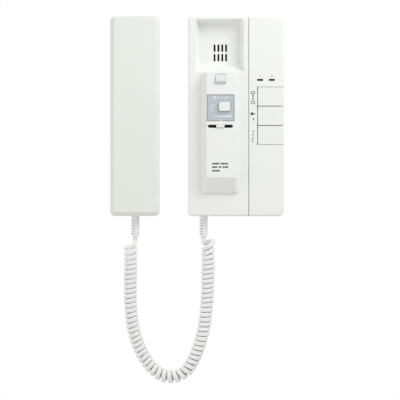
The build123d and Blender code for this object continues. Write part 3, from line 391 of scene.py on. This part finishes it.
# What every moulded surface of the set shares: a fine eroded grain, slow mottling of the colour, patches
# that handling has made smoother, painted shade that darkens its slits and grooves by how enclosed they
# are, and edges that are a little rounded, bright and worn.
grain, grain_in, grain_out = new_group(
    "moulded_grain_and_shade",
    [("Colour", "NodeSocketColor", (0.8, 0.8, 0.8, 1)), ("Stain", "NodeSocketColor", (0.7, 0.68, 0.6, 1)),
     ("Grain Scale", "NodeSocketFloat", 2400.0), ("Grain Height", "NodeSocketFloat", 0.3),
     ("Gloss", "NodeSocketFloat", 0.45), ("Edge", "NodeSocketFloat", 0.00035),
     ("Shade Reach", "NodeSocketFloat", 0.0009)],
    [("Colour", "NodeSocketColor"), ("Roughness", "NodeSocketFloat"), ("Normal", "NodeSocketVector")])
where = node(grain, "ShaderNodeTexCoord")
clouds = node(grain, "ShaderNodeTexNoise", Scale=22.0, Detail=4.0, Roughness=0.6)
link(grain, where, "Object", clouds, "Vector")
cloud_share = node(grain, "ShaderNodeMapRange", From_Min=0.42, From_Max=0.75, To_Min=0.0, To_Max=0.10)
link(grain, clouds, "Fac", cloud_share, "Value")
stained = node(grain, "ShaderNodeMix", data_type="RGBA")
link(grain, cloud_share, 0, stained, 0)
grain.links.new(grain_in.outputs["Colour"], stained.inputs[6])
grain.links.new(grain_in.outputs["Stain"], stained.inputs[7])
rounded = node(grain, "ShaderNodeBevel", samples=6)
grain.links.new(grain_in.outputs["Edge"], rounded.inputs["Radius"])
flat = node(grain, "ShaderNodeNewGeometry")
turn_away = node(grain, "ShaderNodeVectorMath", operation="DOT_PRODUCT")
link(grain, rounded, 0, turn_away, 0)
link(grain, flat, "Normal", turn_away, 1)
edge_mask = node(grain, "ShaderNodeMapRange", From_Min=0.995, From_Max=0.80, To_Min=0.0, To_Max=1.0)
link(grain, turn_away, "Value", edge_mask, "Value")
rub = node(grain, "ShaderNodeTexNoise", Scale=150.0, Detail=3.0)
link(grain, where, "Object", rub, "Vector")
worn = math_node(grain, "MULTIPLY", edge_mask.outputs[0], rub.outputs["Fac"])
worn_share = 0.12
worn_light = node(grain, "ShaderNodeMix", data_type="RGBA", blend_type="SCREEN")
grain.links.new(math_node(grain, "MULTIPLY", worn, worn_share), worn_light.inputs[0])
grain.links.new(stained.outputs[2], worn_light.inputs[6])
worn_light.inputs[7].default_value = (0.5, 0.5, 0.5, 1)
# Painted shade: ambient occlusion within the reach given to the group darkens slits, grooves and corners
# towards a near-black colour.
hidden = node(grain, "ShaderNodeAmbientOcclusion", samples=6)
grain.links.new(grain_in.outputs["Shade Reach"], hidden.inputs["Distance"])
painted_shade_share = node(grain, "ShaderNodeMapRange", From_Min=0.55, From_Max=0.15, To_Min=0.0, To_Max=0.65)
link(grain, hidden, "AO", painted_shade_share, "Value")
with_painted_shade = node(grain, "ShaderNodeMix", data_type="RGBA")
link(grain, painted_shade_share, 0, with_painted_shade, 0)
grain.links.new(worn_light.outputs[2], with_painted_shade.inputs[6])
with_painted_shade.inputs[7].default_value = (0.10, 0.095, 0.085, 1)
grain.links.new(with_painted_shade.outputs[2], grain_out.inputs["Colour"])
handled = node(grain, "ShaderNodeTexNoise", Scale=38.0, Detail=5.0, Roughness=0.65)
link(grain, where, "Object", handled, "Vector")
gloss_swing = node(grain, "ShaderNodeMapRange", From_Min=0.3, From_Max=0.7, To_Min=-0.06, To_Max=0.06)
link(grain, handled, "Fac", gloss_swing, "Value")
gloss = math_node(grain, "ADD", grain_in.outputs["Gloss"], gloss_swing.outputs[0])
gloss = math_node(grain, "SUBTRACT", gloss, math_node(grain, "MULTIPLY", worn, worn_share))
grain.links.new(gloss, grain_out.inputs["Roughness"])
pits = node(grain, "ShaderNodeTexNoise", Detail=2.0)
link(grain, where, "Object", pits, "Vector")
grain.links.new(grain_in.outputs["Grain Scale"], pits.inputs["Scale"])
relief = node(grain, "ShaderNodeBump", Distance=0.00004)
grain.links.new(grain_in.outputs["Grain Height"], relief.inputs["Strength"])
link(grain, pits, "Fac", relief, "Height")
link(grain, rounded, 0, relief, "Normal")
link(grain, relief, 0, grain_out, "Normal")


def moulded(name, colour, stain, gloss, grain_scale=2400.0, grain_height=0.3, edge=0.00035,
            shade_reach=0.0009, **plain):
    """A moulded plastic or rubber made with the shared grain and its painted shade."""
    material = bpy.data.materials.new(name)
    material.use_nodes = True
    tree = material.node_tree
    shader = tree.nodes["Principled BSDF"]
    finish = node(tree, "ShaderNodeGroup", node_tree=grain)
    finish.inputs["Colour"].default_value = (*colour, 1)
    finish.inputs["Stain"].default_value = (*stain, 1)
    finish.inputs["Grain Scale"].default_value = grain_scale
    finish.inputs["Grain Height"].default_value = grain_height
    finish.inputs["Gloss"].default_value = gloss
    finish.inputs["Edge"].default_value = edge
    finish.inputs["Shade Reach"].default_value = shade_reach
    link(tree, finish, "Colour", shader, "Base Color")
    link(tree, finish, "Roughness", shader, "Roughness")
    link(tree, finish, "Normal", shader, "Normal")
    for socket, value in plain.items():
        shader.inputs[socket.replace("_", " ")].default_value = value
    return material


def dress(material, *names):
    """Gives CAD nodes a material in place of the plain one they come with."""
    for name in names:
        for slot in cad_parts[name].material_slots:
            slot.material = material


cord_pvc = moulded("cord_pvc", (0.87, 0.87, 0.855), (0.76, 0.75, 0.70), 0.38, grain_scale=900.0,
                   grain_height=0.10, edge=0.0002, shade_reach=0.0001)
curly_wire.data.materials.append(cord_pvc)

# Cord boots: PVC strain reliefs, moulded on the cord's ends and held in the two cases by their collars.
# Cuts from both sides let them bend, and painted shade darkens the cuts. The boots' white is lighter than
# the cord's, as painted light.
boot_radius = 0.00415
boot_tip_radius = 0.00405
boot_length = 0.0202
boot_neck_radius = 0.0031
boot_collar_radius = 0.0044
boot_collar = 0.0018
boot_core_radius = 0.0028
boot_first_cut = 0.0037
boot_cut_pitch = 0.00275
boot_cut_height = 0.00095
boot_cut_back = 0.0009
boot_cut_count = 6
boot_mouth_radius = 0.56 * wire_width
boot_softness = 0.00012
boot_sides = 48
end_facing = 0.9
smooth_angle = 35
case_wall = 0.0022
case_end_z = boot_tip_z + boot_length
# Painted light and shade: this PVC is lighter than the cord's same PVC, and its wide shade reach paints
# shade into the cuts.
boot_pvc_lit = moulded("boot_pvc_lit", (0.92, 0.92, 0.905), (0.72, 0.71, 0.66), 0.44, grain_scale=1600.0,
                   grain_height=0.25, edge=0.0002, shade_reach=0.0012)


def pick_faces(piece, wanted):
    """Selects, in edit mode, the faces whose middle and normal the test wants."""
    bpy.ops.object.mode_set(mode="EDIT")
    bpy.ops.mesh.select_mode(type="FACE")
    bpy.ops.mesh.select_all(action="DESELECT")
    bpy.ops.object.mode_set(mode="OBJECT")
    for face in piece.data.polygons:
        face.select = wanted(face.center, face.normal)
    bpy.ops.object.mode_set(mode="EDIT")


def pull(distance):
    """Draws the selected faces out, along Z, from where they are."""
    bpy.ops.mesh.extrude_region_move(TRANSFORM_OT_translate={"value": (0, 0, distance)})


def widen(share):
    """Scales what is selected across Z, about its own middle."""
    bpy.ops.transform.resize(value=(share, share, 1))


def combine(piece, other, operation):
    """Cuts or joins another mesh with a piece for good, and drops the other."""
    work = piece.modifiers.new("work", "BOOLEAN")
    work.operation = operation
    work.object = other
    bpy.context.view_layer.objects.active = piece
    bpy.ops.object.modifier_apply(modifier="work")
    bpy.data.objects.remove(other)


def strain_relief(name, x):
    """A boot with its collar: a cylinder shaped at both ends, then cut from both sides."""
    bpy.ops.object.select_all(action="DESELECT")
    bpy.ops.mesh.primitive_cylinder_add(vertices=boot_sides, radius=boot_radius, depth=boot_length,
                                        location=(x, -cord_depth, case_end_z - boot_length / 2))
    boot = bpy.context.object
    boot.name = name
    pick_faces(boot, lambda middle, normal: normal.z > end_facing)
    bpy.ops.mesh.inset(thickness=boot_radius - boot_neck_radius)
    pull(case_wall)
    pull(0)
    widen(boot_collar_radius / boot_neck_radius)
    pull(boot_collar)
    pick_faces(boot, lambda middle, normal: normal.z < -end_facing and middle.z < -boot_length / 3)
    widen(boot_tip_radius / boot_radius)
    bpy.ops.mesh.inset(thickness=boot_tip_radius - boot_mouth_radius)
    pull(boot_collar)
    bpy.ops.object.mode_set(mode="OBJECT")
    bpy.ops.object.transform_apply(location=True)
    blades = []
    reach_out = 3 * boot_radius
    for place in range(boot_cut_count):
        z = case_end_z - boot_first_cut - place * boot_cut_pitch - boot_cut_height / 2
        for way in (-1, 1):
            bpy.ops.object.select_all(action="DESELECT")
            bpy.ops.mesh.primitive_cube_add(size=reach_out, location=(
                x + way * reach_out / 2, -cord_depth + way * (boot_cut_back + reach_out / 2), z))
            blade = bpy.context.object
            blade.scale = (1, 1, boot_cut_height / reach_out)
            blades.append(blade)
    for blade in blades:
        blade.select_set(True)
    bpy.ops.object.join()
    bpy.ops.object.transform_apply(location=True, rotation=True, scale=True)
    combine(boot, bpy.context.object, "DIFFERENCE")
    bpy.ops.object.select_all(action="DESELECT")
    bpy.ops.mesh.primitive_cylinder_add(vertices=boot_sides, radius=boot_core_radius,
                                        depth=boot_length - 2 * boot_collar,
                                        location=(x, -cord_depth, case_end_z - boot_length / 2))
    combine(boot, bpy.context.object, "UNION")
    soften = boot.modifiers.new("soften", "BEVEL")
    soften.width = boot_softness
    soften.segments = 2
    soften.limit_method = "ANGLE"
    bpy.ops.object.modifier_apply(modifier="soften")
    bpy.ops.object.select_all(action="DESELECT")
    boot.select_set(True)
    bpy.ops.object.shade_smooth_by_angle(angle=math.radians(smooth_angle))
    boot.data.materials.clear()
    boot.data.materials.append(boot_pvc_lit)
    return boot


station_boot = strain_relief("station_boot_sleeve", station_cord_x)
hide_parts("base_cord_boot")
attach(station_boot, "station")
handset_boot = strain_relief("handset_boot_sleeve", handset_x)
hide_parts("handset_cord_boot")
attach(handset_boot, "handset")

# Station housing: two front covers and a rear tray, moulded in off-white ABS with an eroded
# matt grain. The covers meet in a groove, and screws from behind hold them to the tray.
housing_stain = (0.76, 0.75, 0.70)
housing_abs = moulded("housing_abs", (0.86, 0.865, 0.852), housing_stain, 0.47, grain_height=0.35)
dress(housing_abs, "cradle_cover", "panel_cover", "rear_housing")

# Handset: two shells of the same ABS as the housing, with the softer shine that hands give it, but
# coloured a darker grey than the housing as painted shade. The inner one has the ear cap, the grip channel
# and the mouth end; the outer one is the back.
handset_abs_shaded = moulded("handset_abs_shaded", (0.81, 0.82, 0.79), housing_stain, 0.42, grain_height=0.28,
                      edge=0.0006)
dress(handset_abs_shaded, "handset_inner_shell", "handset_outer_shell")

# Keys, square button and hook lever: smoother mouldings that slide or swing in the covers, the lever in a
# cooler white, darker than the keys' as painted shade for its sloped face. They are pressed and rubbed
# most, so their edges shine.
key_abs = moulded("key_abs", (0.845, 0.85, 0.84), housing_stain, 0.36, grain_height=0.12,
                  shade_reach=0.0005)
dress(key_abs, "lower_key", "middle_key", "upper_key", "plate_button")
# Painted shade: the lever's colour is darker than the keys' same moulding.
hook_abs_shaded = moulded("hook_abs_shaded", (0.75, 0.76, 0.80), (0.72, 0.72, 0.72), 0.38, grain_height=0.15)
dress(hook_abs_shaded, "hook_lever")

# Volume slider: a white acetal knob pushed on the black lever of its carriage, which slides in
# the slot of the potentiometer behind the post's front.
knob_acetal = moulded("knob_acetal", (0.88, 0.88, 0.875), (0.74, 0.73, 0.70), 0.33,
                      grain_height=0.08, edge=0.0002)
dress(knob_acetal, "volume_knob")
black_nylon = moulded("black_nylon", (0.014, 0.014, 0.015), (0.03, 0.03, 0.03), 0.55,
                      grain_scale=1800.0, grain_height=0.2, edge=0.0002, Specular_IOR_Level=0.3)
dress(black_nylon, "slider_carriage", "slide_potentiometer")

# Function plate: a thin sheet of satin blue-grey plastic, glued in its recess on the post around
# the square button.
plate_sheet = moulded("plate_sheet", (0.497, 0.543, 0.592), (0.46, 0.49, 0.57), 0.32,
                      grain_scale=1200.0, grain_height=0.10, edge=0.0001)
dress(plate_sheet, "function_plate")

# Prints: screened inks on the plate, the post and the panel, and a slate line of painted shade round the
# plate. Each mark is a film a few hundredths of a millimetre thick, built of small blocks that are joined
# and rounded at their corners.
ink_film = 0.00004
ink_sunk = 0.00001
plate_face = 0.047
post_face = 0.047
panel_face = 0.034


def ink_print(name, face, blocks, round_by):
    """A mark of blocks, each by its middle, width, height, lean and the share of its left height."""
    parts = []
    for x, z, width, height, lean_angle, left_share in blocks:
        bpy.ops.object.select_all(action="DESELECT")
        bpy.ops.mesh.primitive_cube_add(size=1, location=(x, -face - ink_film / 2 + ink_sunk, z),
                                        rotation=(0, math.radians(lean_angle), 0))
        block = bpy.context.object
        block.scale = (width, ink_film, height)
        bpy.ops.object.mode_set(mode="EDIT")
        bpy.ops.mesh.select_all(action="DESELECT")
        bpy.ops.object.mode_set(mode="OBJECT")
        for vertex in block.data.vertices:
            vertex.select = vertex.co.x < 0
        bpy.ops.object.mode_set(mode="EDIT")
        bpy.ops.transform.resize(value=(1, 1, left_share), orient_type="LOCAL")
        bpy.ops.object.mode_set(mode="OBJECT")
        parts.append(block)
    for block in parts:
        block.select_set(True)
    bpy.ops.object.transform_apply(location=True, rotation=True, scale=True)
    if len(parts) > 1:
        bpy.ops.object.join()
    mark = bpy.context.object
    mark.name = name
    corners = mark.modifiers.new("corners", "BEVEL")
    corners.width = round_by
    corners.segments = 2
    bpy.ops.object.modifier_apply(modifier="corners")
    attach(mark, "station")
    return mark


def outlined(x, z, width, height, line):
    """The four bars of a drawn box."""
    return [(x, z + height / 2, width, line, 0, 1), (x, z - height / 2, width, line, 0, 1),
            (x - width / 2, z, line, height + line, 0, 1),
            (x + width / 2, z, line, height + line, 0, 1)]


def ink(name, colour, stain, gloss=0.40):
    """A thin screened ink, smooth and even."""
    return moulded(name, colour, stain, gloss, grain_scale=3000.0, grain_height=0.05, edge=0.00002,
                   shade_reach=0.00002)


ink_white = ink("ink_white", (0.86, 0.86, 0.86), (0.75, 0.76, 0.80))
ink_grey = ink("ink_grey", (0.035, 0.035, 0.04), (0.08, 0.08, 0.08), gloss=0.42)
# The slate film is painted shade for the gap round the plate, not a print.
painted_gap_shade = ink("painted_gap_shade", (0.20, 0.22, 0.27), (0.28, 0.30, 0.36))
plate_middle_x = -0.0155
plate_middle_z = 0.0075
gap_shade_width = 0.0262
gap_shade_height = 0.0255
gap_shade_line = 0.0004
plate_marks = [
    (-0.0222, 0.0176, 0.0008, 0.0031, 0, 1),
    (-0.0206, 0.0176, 0.0008, 0.0031, 0, 1),
    (-0.0182, 0.0173, 0.0011, 0.0011, 0, 1),
    (-0.0118, 0.0178, 0.0084, 0.0005, 0, 1),
    (-0.0224, 0.0108, 0.0022, 0.0005, 0, 1),
    (-0.0242, 0.0101, 0.0022, 0.0005, -38, 1),
    (-0.0253, 0.0080, 0.0005, 0.0034, 0, 1),
    (-0.0243, 0.0057, 0.0022, 0.0005, 38, 1),
    (-0.0220, 0.0086, 0.0005, 0.0018, 0, 1),
    (-0.0220, 0.0056, 0.0005, 0.0018, 0, 1),
    (-0.01455, -0.0008, 0.0191, 0.0015, 0, 0.12),
    (-0.0152, -0.0046, 0.0023, 0.0030, 90, 0.1),
]
# Painted shade: a thin dark slate box round the plate stands for the shadow of the gap between the plate
# and its recess.
plate_gap_shade = ink_print(
    "plate_gap_shade", plate_face,
    outlined(plate_middle_x, plate_middle_z, gap_shade_width, gap_shade_height, gap_shade_line),
    round_by=0.0001)
plate_gap_shade.data.materials.append(painted_gap_shade)
plate_print = ink_print("plate_print", plate_face, plate_marks, round_by=0.0002)
plate_print.data.materials.append(ink_white)
post_rows = [
    (-0.0478, (0.0017, 0.0013, 0.0019, 0.0013, None, 0.0012, 0.0018, 0.0014, 0.0016)),
    (-0.0512, (0.0014, 0.0018, 0.0011, None, 0.0012, 0.0012, None, 0.0019, 0.0012, 0.0017)),
    (-0.0548, (0.0019, 0.0013, 0.0018, 0.0015)),
]
post_left_x = -0.0239
bar_height = 0.0017
bar_space = 0.0003
word_space = 0.0011
post_bars = []
for z, widths in post_rows:
    x = post_left_x
    for width in widths:
        if width is None:
            x += word_space
            continue
        post_bars.append((x + width / 2, z, width, bar_height, 0, 1))
        x += width + bar_space
post_print = ink_print("post_print", post_face, post_bars, round_by=0.00015)
post_print.data.materials.append(ink_grey)
panel_marks = outlined(0.0169, 0.0236, 0.0036, 0.0022, 0.0006)
panel_marks += outlined(0.0169, 0.0137, 0.0036, 0.0024, 0.0006)
panel_marks += [
    (0.0170, 0.0189, 0.0008, 0.0036, 0, 1),
    (0.0170, 0.0206, 0.0016, 0.0022, -90, 0.1),
    (0.0170, 0.0172, 0.0016, 0.0022, 90, 0.1),
    (0.0160, 0.0024, 0.0024, 0.0027, 0, 1),
    (0.0182, 0.0024, 0.0022, 0.0009, 0, 1),
    (0.0175, -0.0031, 0.0010, 0.0022, 0, 1),
    (0.0172, -0.0152, 0.0007, 0.0026, 28, 1),
    (0.0170, -0.0184, 0.0007, 0.0026, 28, 1),
    (0.0168, -0.0216, 0.0007, 0.0026, 28, 1),
    (0.0166, -0.0248, 0.0007, 0.0026, 28, 1),
]
panel_print = ink_print("panel_print", panel_face, panel_marks, round_by=0.00012)
panel_print.data.materials.append(ink_grey)

# Numerals over the indicator windows, in the same ink: plain figures for the two lines.
numeral_height = 0.0036
numeral_z = 0.0391
for figure, x in (("1", 0.0243), ("2", 0.0359)):
    bpy.ops.object.select_all(action="DESELECT")
    bpy.ops.object.text_add(location=(x, -panel_face + ink_sunk - ink_film / 2, numeral_z),
                            rotation=(math.radians(90), 0, 0))
    numeral = bpy.context.object
    numeral.name = "numeral_" + figure
    numeral.data.body = figure
    numeral.data.size = numeral_height
    numeral.data.extrude = ink_film / 2
    numeral.data.align_x = "CENTER"
    bpy.ops.object.convert(target="MESH")
    bpy.ops.object.transform_apply(location=True, rotation=True, scale=True)
    numeral.data.materials.append(ink_grey)
    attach(numeral, "station")

# Indicator windows and the lamps behind them: dark red acrylic, and lamps with a red body that
# are off. The spacers under the lamps are black tubes.
window_red = moulded("window_red", (0.030, 0.006, 0.006), (0.015, 0.004, 0.004), 0.30,
                     grain_scale=500.0, grain_height=0.03, edge=0.00015, Specular_IOR_Level=0.3)
dress(window_red, "indicator_windows")
lamp_red = moulded("lamp_red", (0.45, 0.03, 0.025), (0.3, 0.02, 0.02), 0.22, grain_scale=700.0,
                   grain_height=0.05, edge=0.0002)
dress(lamp_red, "indicator_lamps")
dress(black_nylon, "lamp_spacers")

# Switches: black nylon bodies with a grey plunger under each key and the square button, and one
# with a lever's foot under the hook.
switch_nylon = moulded("switch_nylon", (0.03, 0.03, 0.032), (0.06, 0.06, 0.06), 0.5,
                       grain_scale=1500.0, grain_height=0.25, edge=0.0002)
dress(switch_nylon, "key_switches", "button_switch", "hook_switch")

# What the metal pieces share: fine drawing or grinding lines one way, a slow tarnish, and edges
# that are rubbed bright.
metal, metal_in, metal_out = new_group(
    "worked_metal",
    [("Colour", "NodeSocketColor", (0.7, 0.7, 0.7, 1)), ("Tarnish", "NodeSocketColor", (0.4, 0.4, 0.4, 1)),
     ("Gloss", "NodeSocketFloat", 0.35), ("Line Spread", "NodeSocketVector", (3000, 3000, 90)),
     ("Line Depth", "NodeSocketFloat", 0.25)],
    [("Colour", "NodeSocketColor"), ("Roughness", "NodeSocketFloat"), ("Normal", "NodeSocketVector")])
where = node(metal, "ShaderNodeTexCoord")
spread = node(metal, "ShaderNodeVectorMath", operation="MULTIPLY")
link(metal, where, "Object", spread, 0)
metal.links.new(metal_in.outputs["Line Spread"], spread.inputs[1])
lines = node(metal, "ShaderNodeTexNoise", Scale=1.0, Detail=3.0)
link(metal, spread, 0, lines, "Vector")
blotches = node(metal, "ShaderNodeTexNoise", Scale=140.0, Detail=5.0, Roughness=0.6)
link(metal, where, "Object", blotches, "Vector")
tarnish_share = node(metal, "ShaderNodeMapRange", From_Min=0.42, From_Max=0.72, To_Min=0.0, To_Max=0.7)
link(metal, blotches, "Fac", tarnish_share, "Value")
tarnished = node(metal, "ShaderNodeMix", data_type="RGBA")
link(metal, tarnish_share, 0, tarnished, 0)
metal.links.new(metal_in.outputs["Colour"], tarnished.inputs[6])
metal.links.new(metal_in.outputs["Tarnish"], tarnished.inputs[7])
rounded = node(metal, "ShaderNodeBevel", samples=4, Radius=0.0002)
flat = node(metal, "ShaderNodeNewGeometry")
turn_away = node(metal, "ShaderNodeVectorMath", operation="DOT_PRODUCT")
link(metal, rounded, 0, turn_away, 0)
link(metal, flat, "Normal", turn_away, 1)
bright_edge = node(metal, "ShaderNodeMapRange", From_Min=0.995, From_Max=0.80, To_Min=0.0, To_Max=0.8)
link(metal, turn_away, "Value", bright_edge, "Value")
rubbed = node(metal, "ShaderNodeMix", data_type="RGBA")
link(metal, bright_edge, 0, rubbed, 0)
metal.links.new(tarnished.outputs[2], rubbed.inputs[6])
metal.links.new(metal_in.outputs["Colour"], rubbed.inputs[7])
metal.links.new(rubbed.outputs[2], metal_out.inputs["Colour"])
line_dulling = 0.16
tarnish_dulling = 0.14
mean_dulling = 0.08
line_gloss = math_node(metal, "MULTIPLY", lines.outputs["Fac"], line_dulling)
dull = math_node(metal, "MULTIPLY", tarnish_share.outputs[0], tarnish_dulling)
gloss = math_node(metal, "ADD", metal_in.outputs["Gloss"], math_node(metal, "ADD", line_gloss, dull))
metal.links.new(math_node(metal, "SUBTRACT", gloss, mean_dulling), metal_out.inputs["Roughness"])
relief = node(metal, "ShaderNodeBump", Distance=0.00003)
metal.links.new(metal_in.outputs["Line Depth"], relief.inputs["Strength"])
link(metal, lines, "Fac", relief, "Height")
link(metal, rounded, 0, relief, "Normal")
link(metal, relief, 0, metal_out, "Normal")


def worked(name, colour, tarnish, gloss, spread_by=(3000, 3000, 90), line_depth=0.25, metallic=1.0):
    """A metal made with the shared lines and tarnish."""
    material = bpy.data.materials.new(name)
    material.use_nodes = True
    tree = material.node_tree
    shader = tree.nodes["Principled BSDF"]
    shader.inputs["Metallic"].default_value = metallic
    finish = node(tree, "ShaderNodeGroup", node_tree=metal)
    finish.inputs["Colour"].default_value = (*colour, 1)
    finish.inputs["Tarnish"].default_value = (*tarnish, 1)
    finish.inputs["Gloss"].default_value = gloss
    finish.inputs["Line Spread"].default_value = spread_by
    finish.inputs["Line Depth"].default_value = line_depth
    link(tree, finish, "Colour", shader, "Base Color")
    link(tree, finish, "Roughness", shader, "Roughness")
    link(tree, finish, "Normal", shader, "Normal")
    return material


# Wall bracket: a steel pressing, zinc plated, that the station hangs on by four lugs. The
# handset's weight and the hook pin are of the same plated steel.
zinc_steel = worked("zinc_steel", (0.66, 0.66, 0.64), (0.47, 0.48, 0.50), 0.36)
dress(zinc_steel, "wall_bracket", "handset_weight", "hook_pin")

# Screws: pan heads with a slot, zinc plated, in the covers, the boards and the handset's grip.
screw_zinc = worked("screw_zinc", (0.70, 0.69, 0.66), (0.50, 0.49, 0.46), 0.30,
                    spread_by=(900, 900, 900), line_depth=0.15)
dress(screw_zinc, "cover_screws", "main_board_screws", "post_board_screws", "handset_screws")

# Hook spring: a leaf of bright rolled spring steel, which the hook lever bends flat towards the
# small board that its foot is held on.
leaf_steel = worked("leaf_steel", (0.58, 0.58, 0.57), (0.42, 0.40, 0.36), 0.26,
                    spread_by=(2600, 2600, 60))
dress(leaf_steel, "hook_spring")
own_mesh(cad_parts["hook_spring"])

# Terminal block: four brass screws between the walls of a dark green moulding, for the wires
# that come through the window in the back.
terminal_green = moulded("terminal_green", (0.055, 0.13, 0.085), (0.09, 0.15, 0.11), 0.42,
                         grain_scale=1500.0, grain_height=0.2, edge=0.0002)
dress(terminal_green, "terminal_block")
turned_brass = worked("turned_brass", (0.72, 0.55, 0.26), (0.42, 0.29, 0.13), 0.28,
                      spread_by=(900, 900, 900), line_depth=0.15)
dress(turned_brass, "terminal_screws")

# Boards: glass laminate under green varnish, with tinned tracks that show as paler lines.
board_green = bpy.data.materials.new("board_green")
board_green.use_nodes = True
tree = board_green.node_tree
shader = tree.nodes["Principled BSDF"]
shader.inputs["Coat Weight"].default_value = 0.35
shader.inputs["Coat Roughness"].default_value = 0.2
where = node(tree, "ShaderNodeTexCoord")
axes = node(tree, "ShaderNodeSeparateXYZ")
link(tree, where, "Object", axes, 0)
face_on = node(tree, "ShaderNodeCombineXYZ")
link(tree, axes, "X", face_on, "X")
link(tree, axes, "Z", face_on, "Y")
tracks = node(tree, "ShaderNodeTexBrick", Scale=90.0, Mortar_Size=0.035, Mortar_Smooth=0.2)
tracks.inputs["Color1"].default_value = (0.020, 0.105, 0.045, 1)
tracks.inputs["Color2"].default_value = (0.030, 0.130, 0.055, 1)
tracks.inputs["Mortar"].default_value = (0.10, 0.26, 0.12, 1)
link(tree, face_on, 0, tracks, "Vector")
weave = node(tree, "ShaderNodeTexNoise", Scale=1500.0, Detail=2.0)
link(tree, where, "Object", weave, "Vector")
mottled = node(tree, "ShaderNodeMix", data_type="RGBA", blend_type="MULTIPLY")
mottled.inputs[0].default_value = 0.35
link(tree, tracks, "Color", mottled, 6)
link(tree, weave, "Color", mottled, 7)
link(tree, mottled, 2, shader, "Base Color")
satin = node(tree, "ShaderNodeMapRange", To_Min=0.28, To_Max=0.5)
link(tree, weave, "Fac", satin, "Value")
link(tree, satin, 0, shader, "Roughness")
raised = node(tree, "ShaderNodeBump", Distance=0.00004, Strength=0.4)
link(tree, tracks, "Fac", raised, "Height")
link(tree, raised, 0, shader, "Normal")
dress(board_green, "main_board", "post_board")


def by_place(name, axis, limit, near_part, far_part):
    """A material that changes where one coordinate passes a limit: near is above it."""
    material = bpy.data.materials.new(name)
    material.use_nodes = True
    tree = material.node_tree
    shader = tree.nodes["Principled BSDF"]
    where = node(tree, "ShaderNodeTexCoord")
    axes = node(tree, "ShaderNodeSeparateXYZ")
    link(tree, where, "Object", axes, 0)
    past = math_node(tree, "GREATER_THAN", axes.outputs[axis], limit)
    groups = []
    for colour, stain, gloss in (far_part, near_part):
        finish = node(tree, "ShaderNodeGroup", node_tree=grain)
        finish.inputs["Colour"].default_value = (*colour, 1)
        finish.inputs["Stain"].default_value = (*stain, 1)
        finish.inputs["Gloss"].default_value = gloss
        groups.append(finish)
    blend = node(tree, "ShaderNodeMix", data_type="RGBA")
    tree.links.new(past, blend.inputs[0])
    link(tree, groups[0], "Colour", blend, 6)
    link(tree, groups[1], "Colour", blend, 7)
    link(tree, blend, 2, shader, "Base Color")
    gloss_blend = node(tree, "ShaderNodeMix")
    tree.links.new(past, gloss_blend.inputs[0])
    link(tree, groups[0], "Roughness", gloss_blend, 2)
    link(tree, groups[1], "Roughness", gloss_blend, 3)
    link(tree, gloss_blend, 0, shader, "Roughness")
    link(tree, groups[0], "Normal", shader, "Normal")
    return material


# Capacitors: aluminium cans in a shrunk dark blue sleeve, open at the top where the can shows.
capacitor_top_y = -0.0231
capacitor_sleeve = by_place("capacitor_sleeve", "Y", capacitor_top_y,
                            ((0.035, 0.045, 0.11), (0.06, 0.07, 0.15), 0.28),
                            ((0.62, 0.62, 0.62), (0.45, 0.45, 0.46), 0.34))
dress(capacitor_sleeve, "capacitors")

# Line transformer: a laminated core, varnished nearly black, round a coil of enamelled wire.
laminated = worked("laminated", (0.10, 0.10, 0.105), (0.20, 0.15, 0.12), 0.42,
                   spread_by=(60, 4200, 60), line_depth=0.5, metallic=0.6)
dress(laminated, "line_transformer")

# Speaker: a black painted frame with a paper cone, a ground magnet behind and a foam gasket in
# front. All of it is dark, so that the slots in the recess look black.
speaker_black = moulded("speaker_black", (0.012, 0.012, 0.012), (0.025, 0.025, 0.025), 0.6,
                        grain_scale=1800.0, grain_height=0.2, edge=0.0002, Specular_IOR_Level=0.3)
dress(speaker_black, "speaker_frame")
cone_paper = moulded("cone_paper", (0.010, 0.010, 0.011), (0.02, 0.02, 0.02), 0.85,
                     grain_scale=1100.0, grain_height=0.8, edge=0.0001, Specular_IOR_Level=0.2)
dress(cone_paper, "speaker_cone")
ground_magnet = worked("ground_magnet", (0.16, 0.16, 0.17), (0.10, 0.10, 0.10), 0.5,
                       spread_by=(3500, 3500, 70), metallic=0.7)
dress(ground_magnet, "speaker_magnet")
soft_foam = moulded("soft_foam", (0.015, 0.015, 0.016), (0.03, 0.03, 0.03), 0.9, grain_scale=1300.0,
                    grain_height=1.0, edge=0.0002, Specular_IOR_Level=0.2)
dress(soft_foam, "speaker_gasket", "receiver_pad", "microphone_sleeve")

# Receiver and microphone: drawn aluminium cans in the handset's two ends.
capsule_can = worked("capsule_can", (0.72, 0.72, 0.73), (0.55, 0.55, 0.56), 0.30,
                     spread_by=(1200, 1200, 1200), line_depth=0.2)
dress(capsule_can, "receiver_capsule", "microphone_capsule")
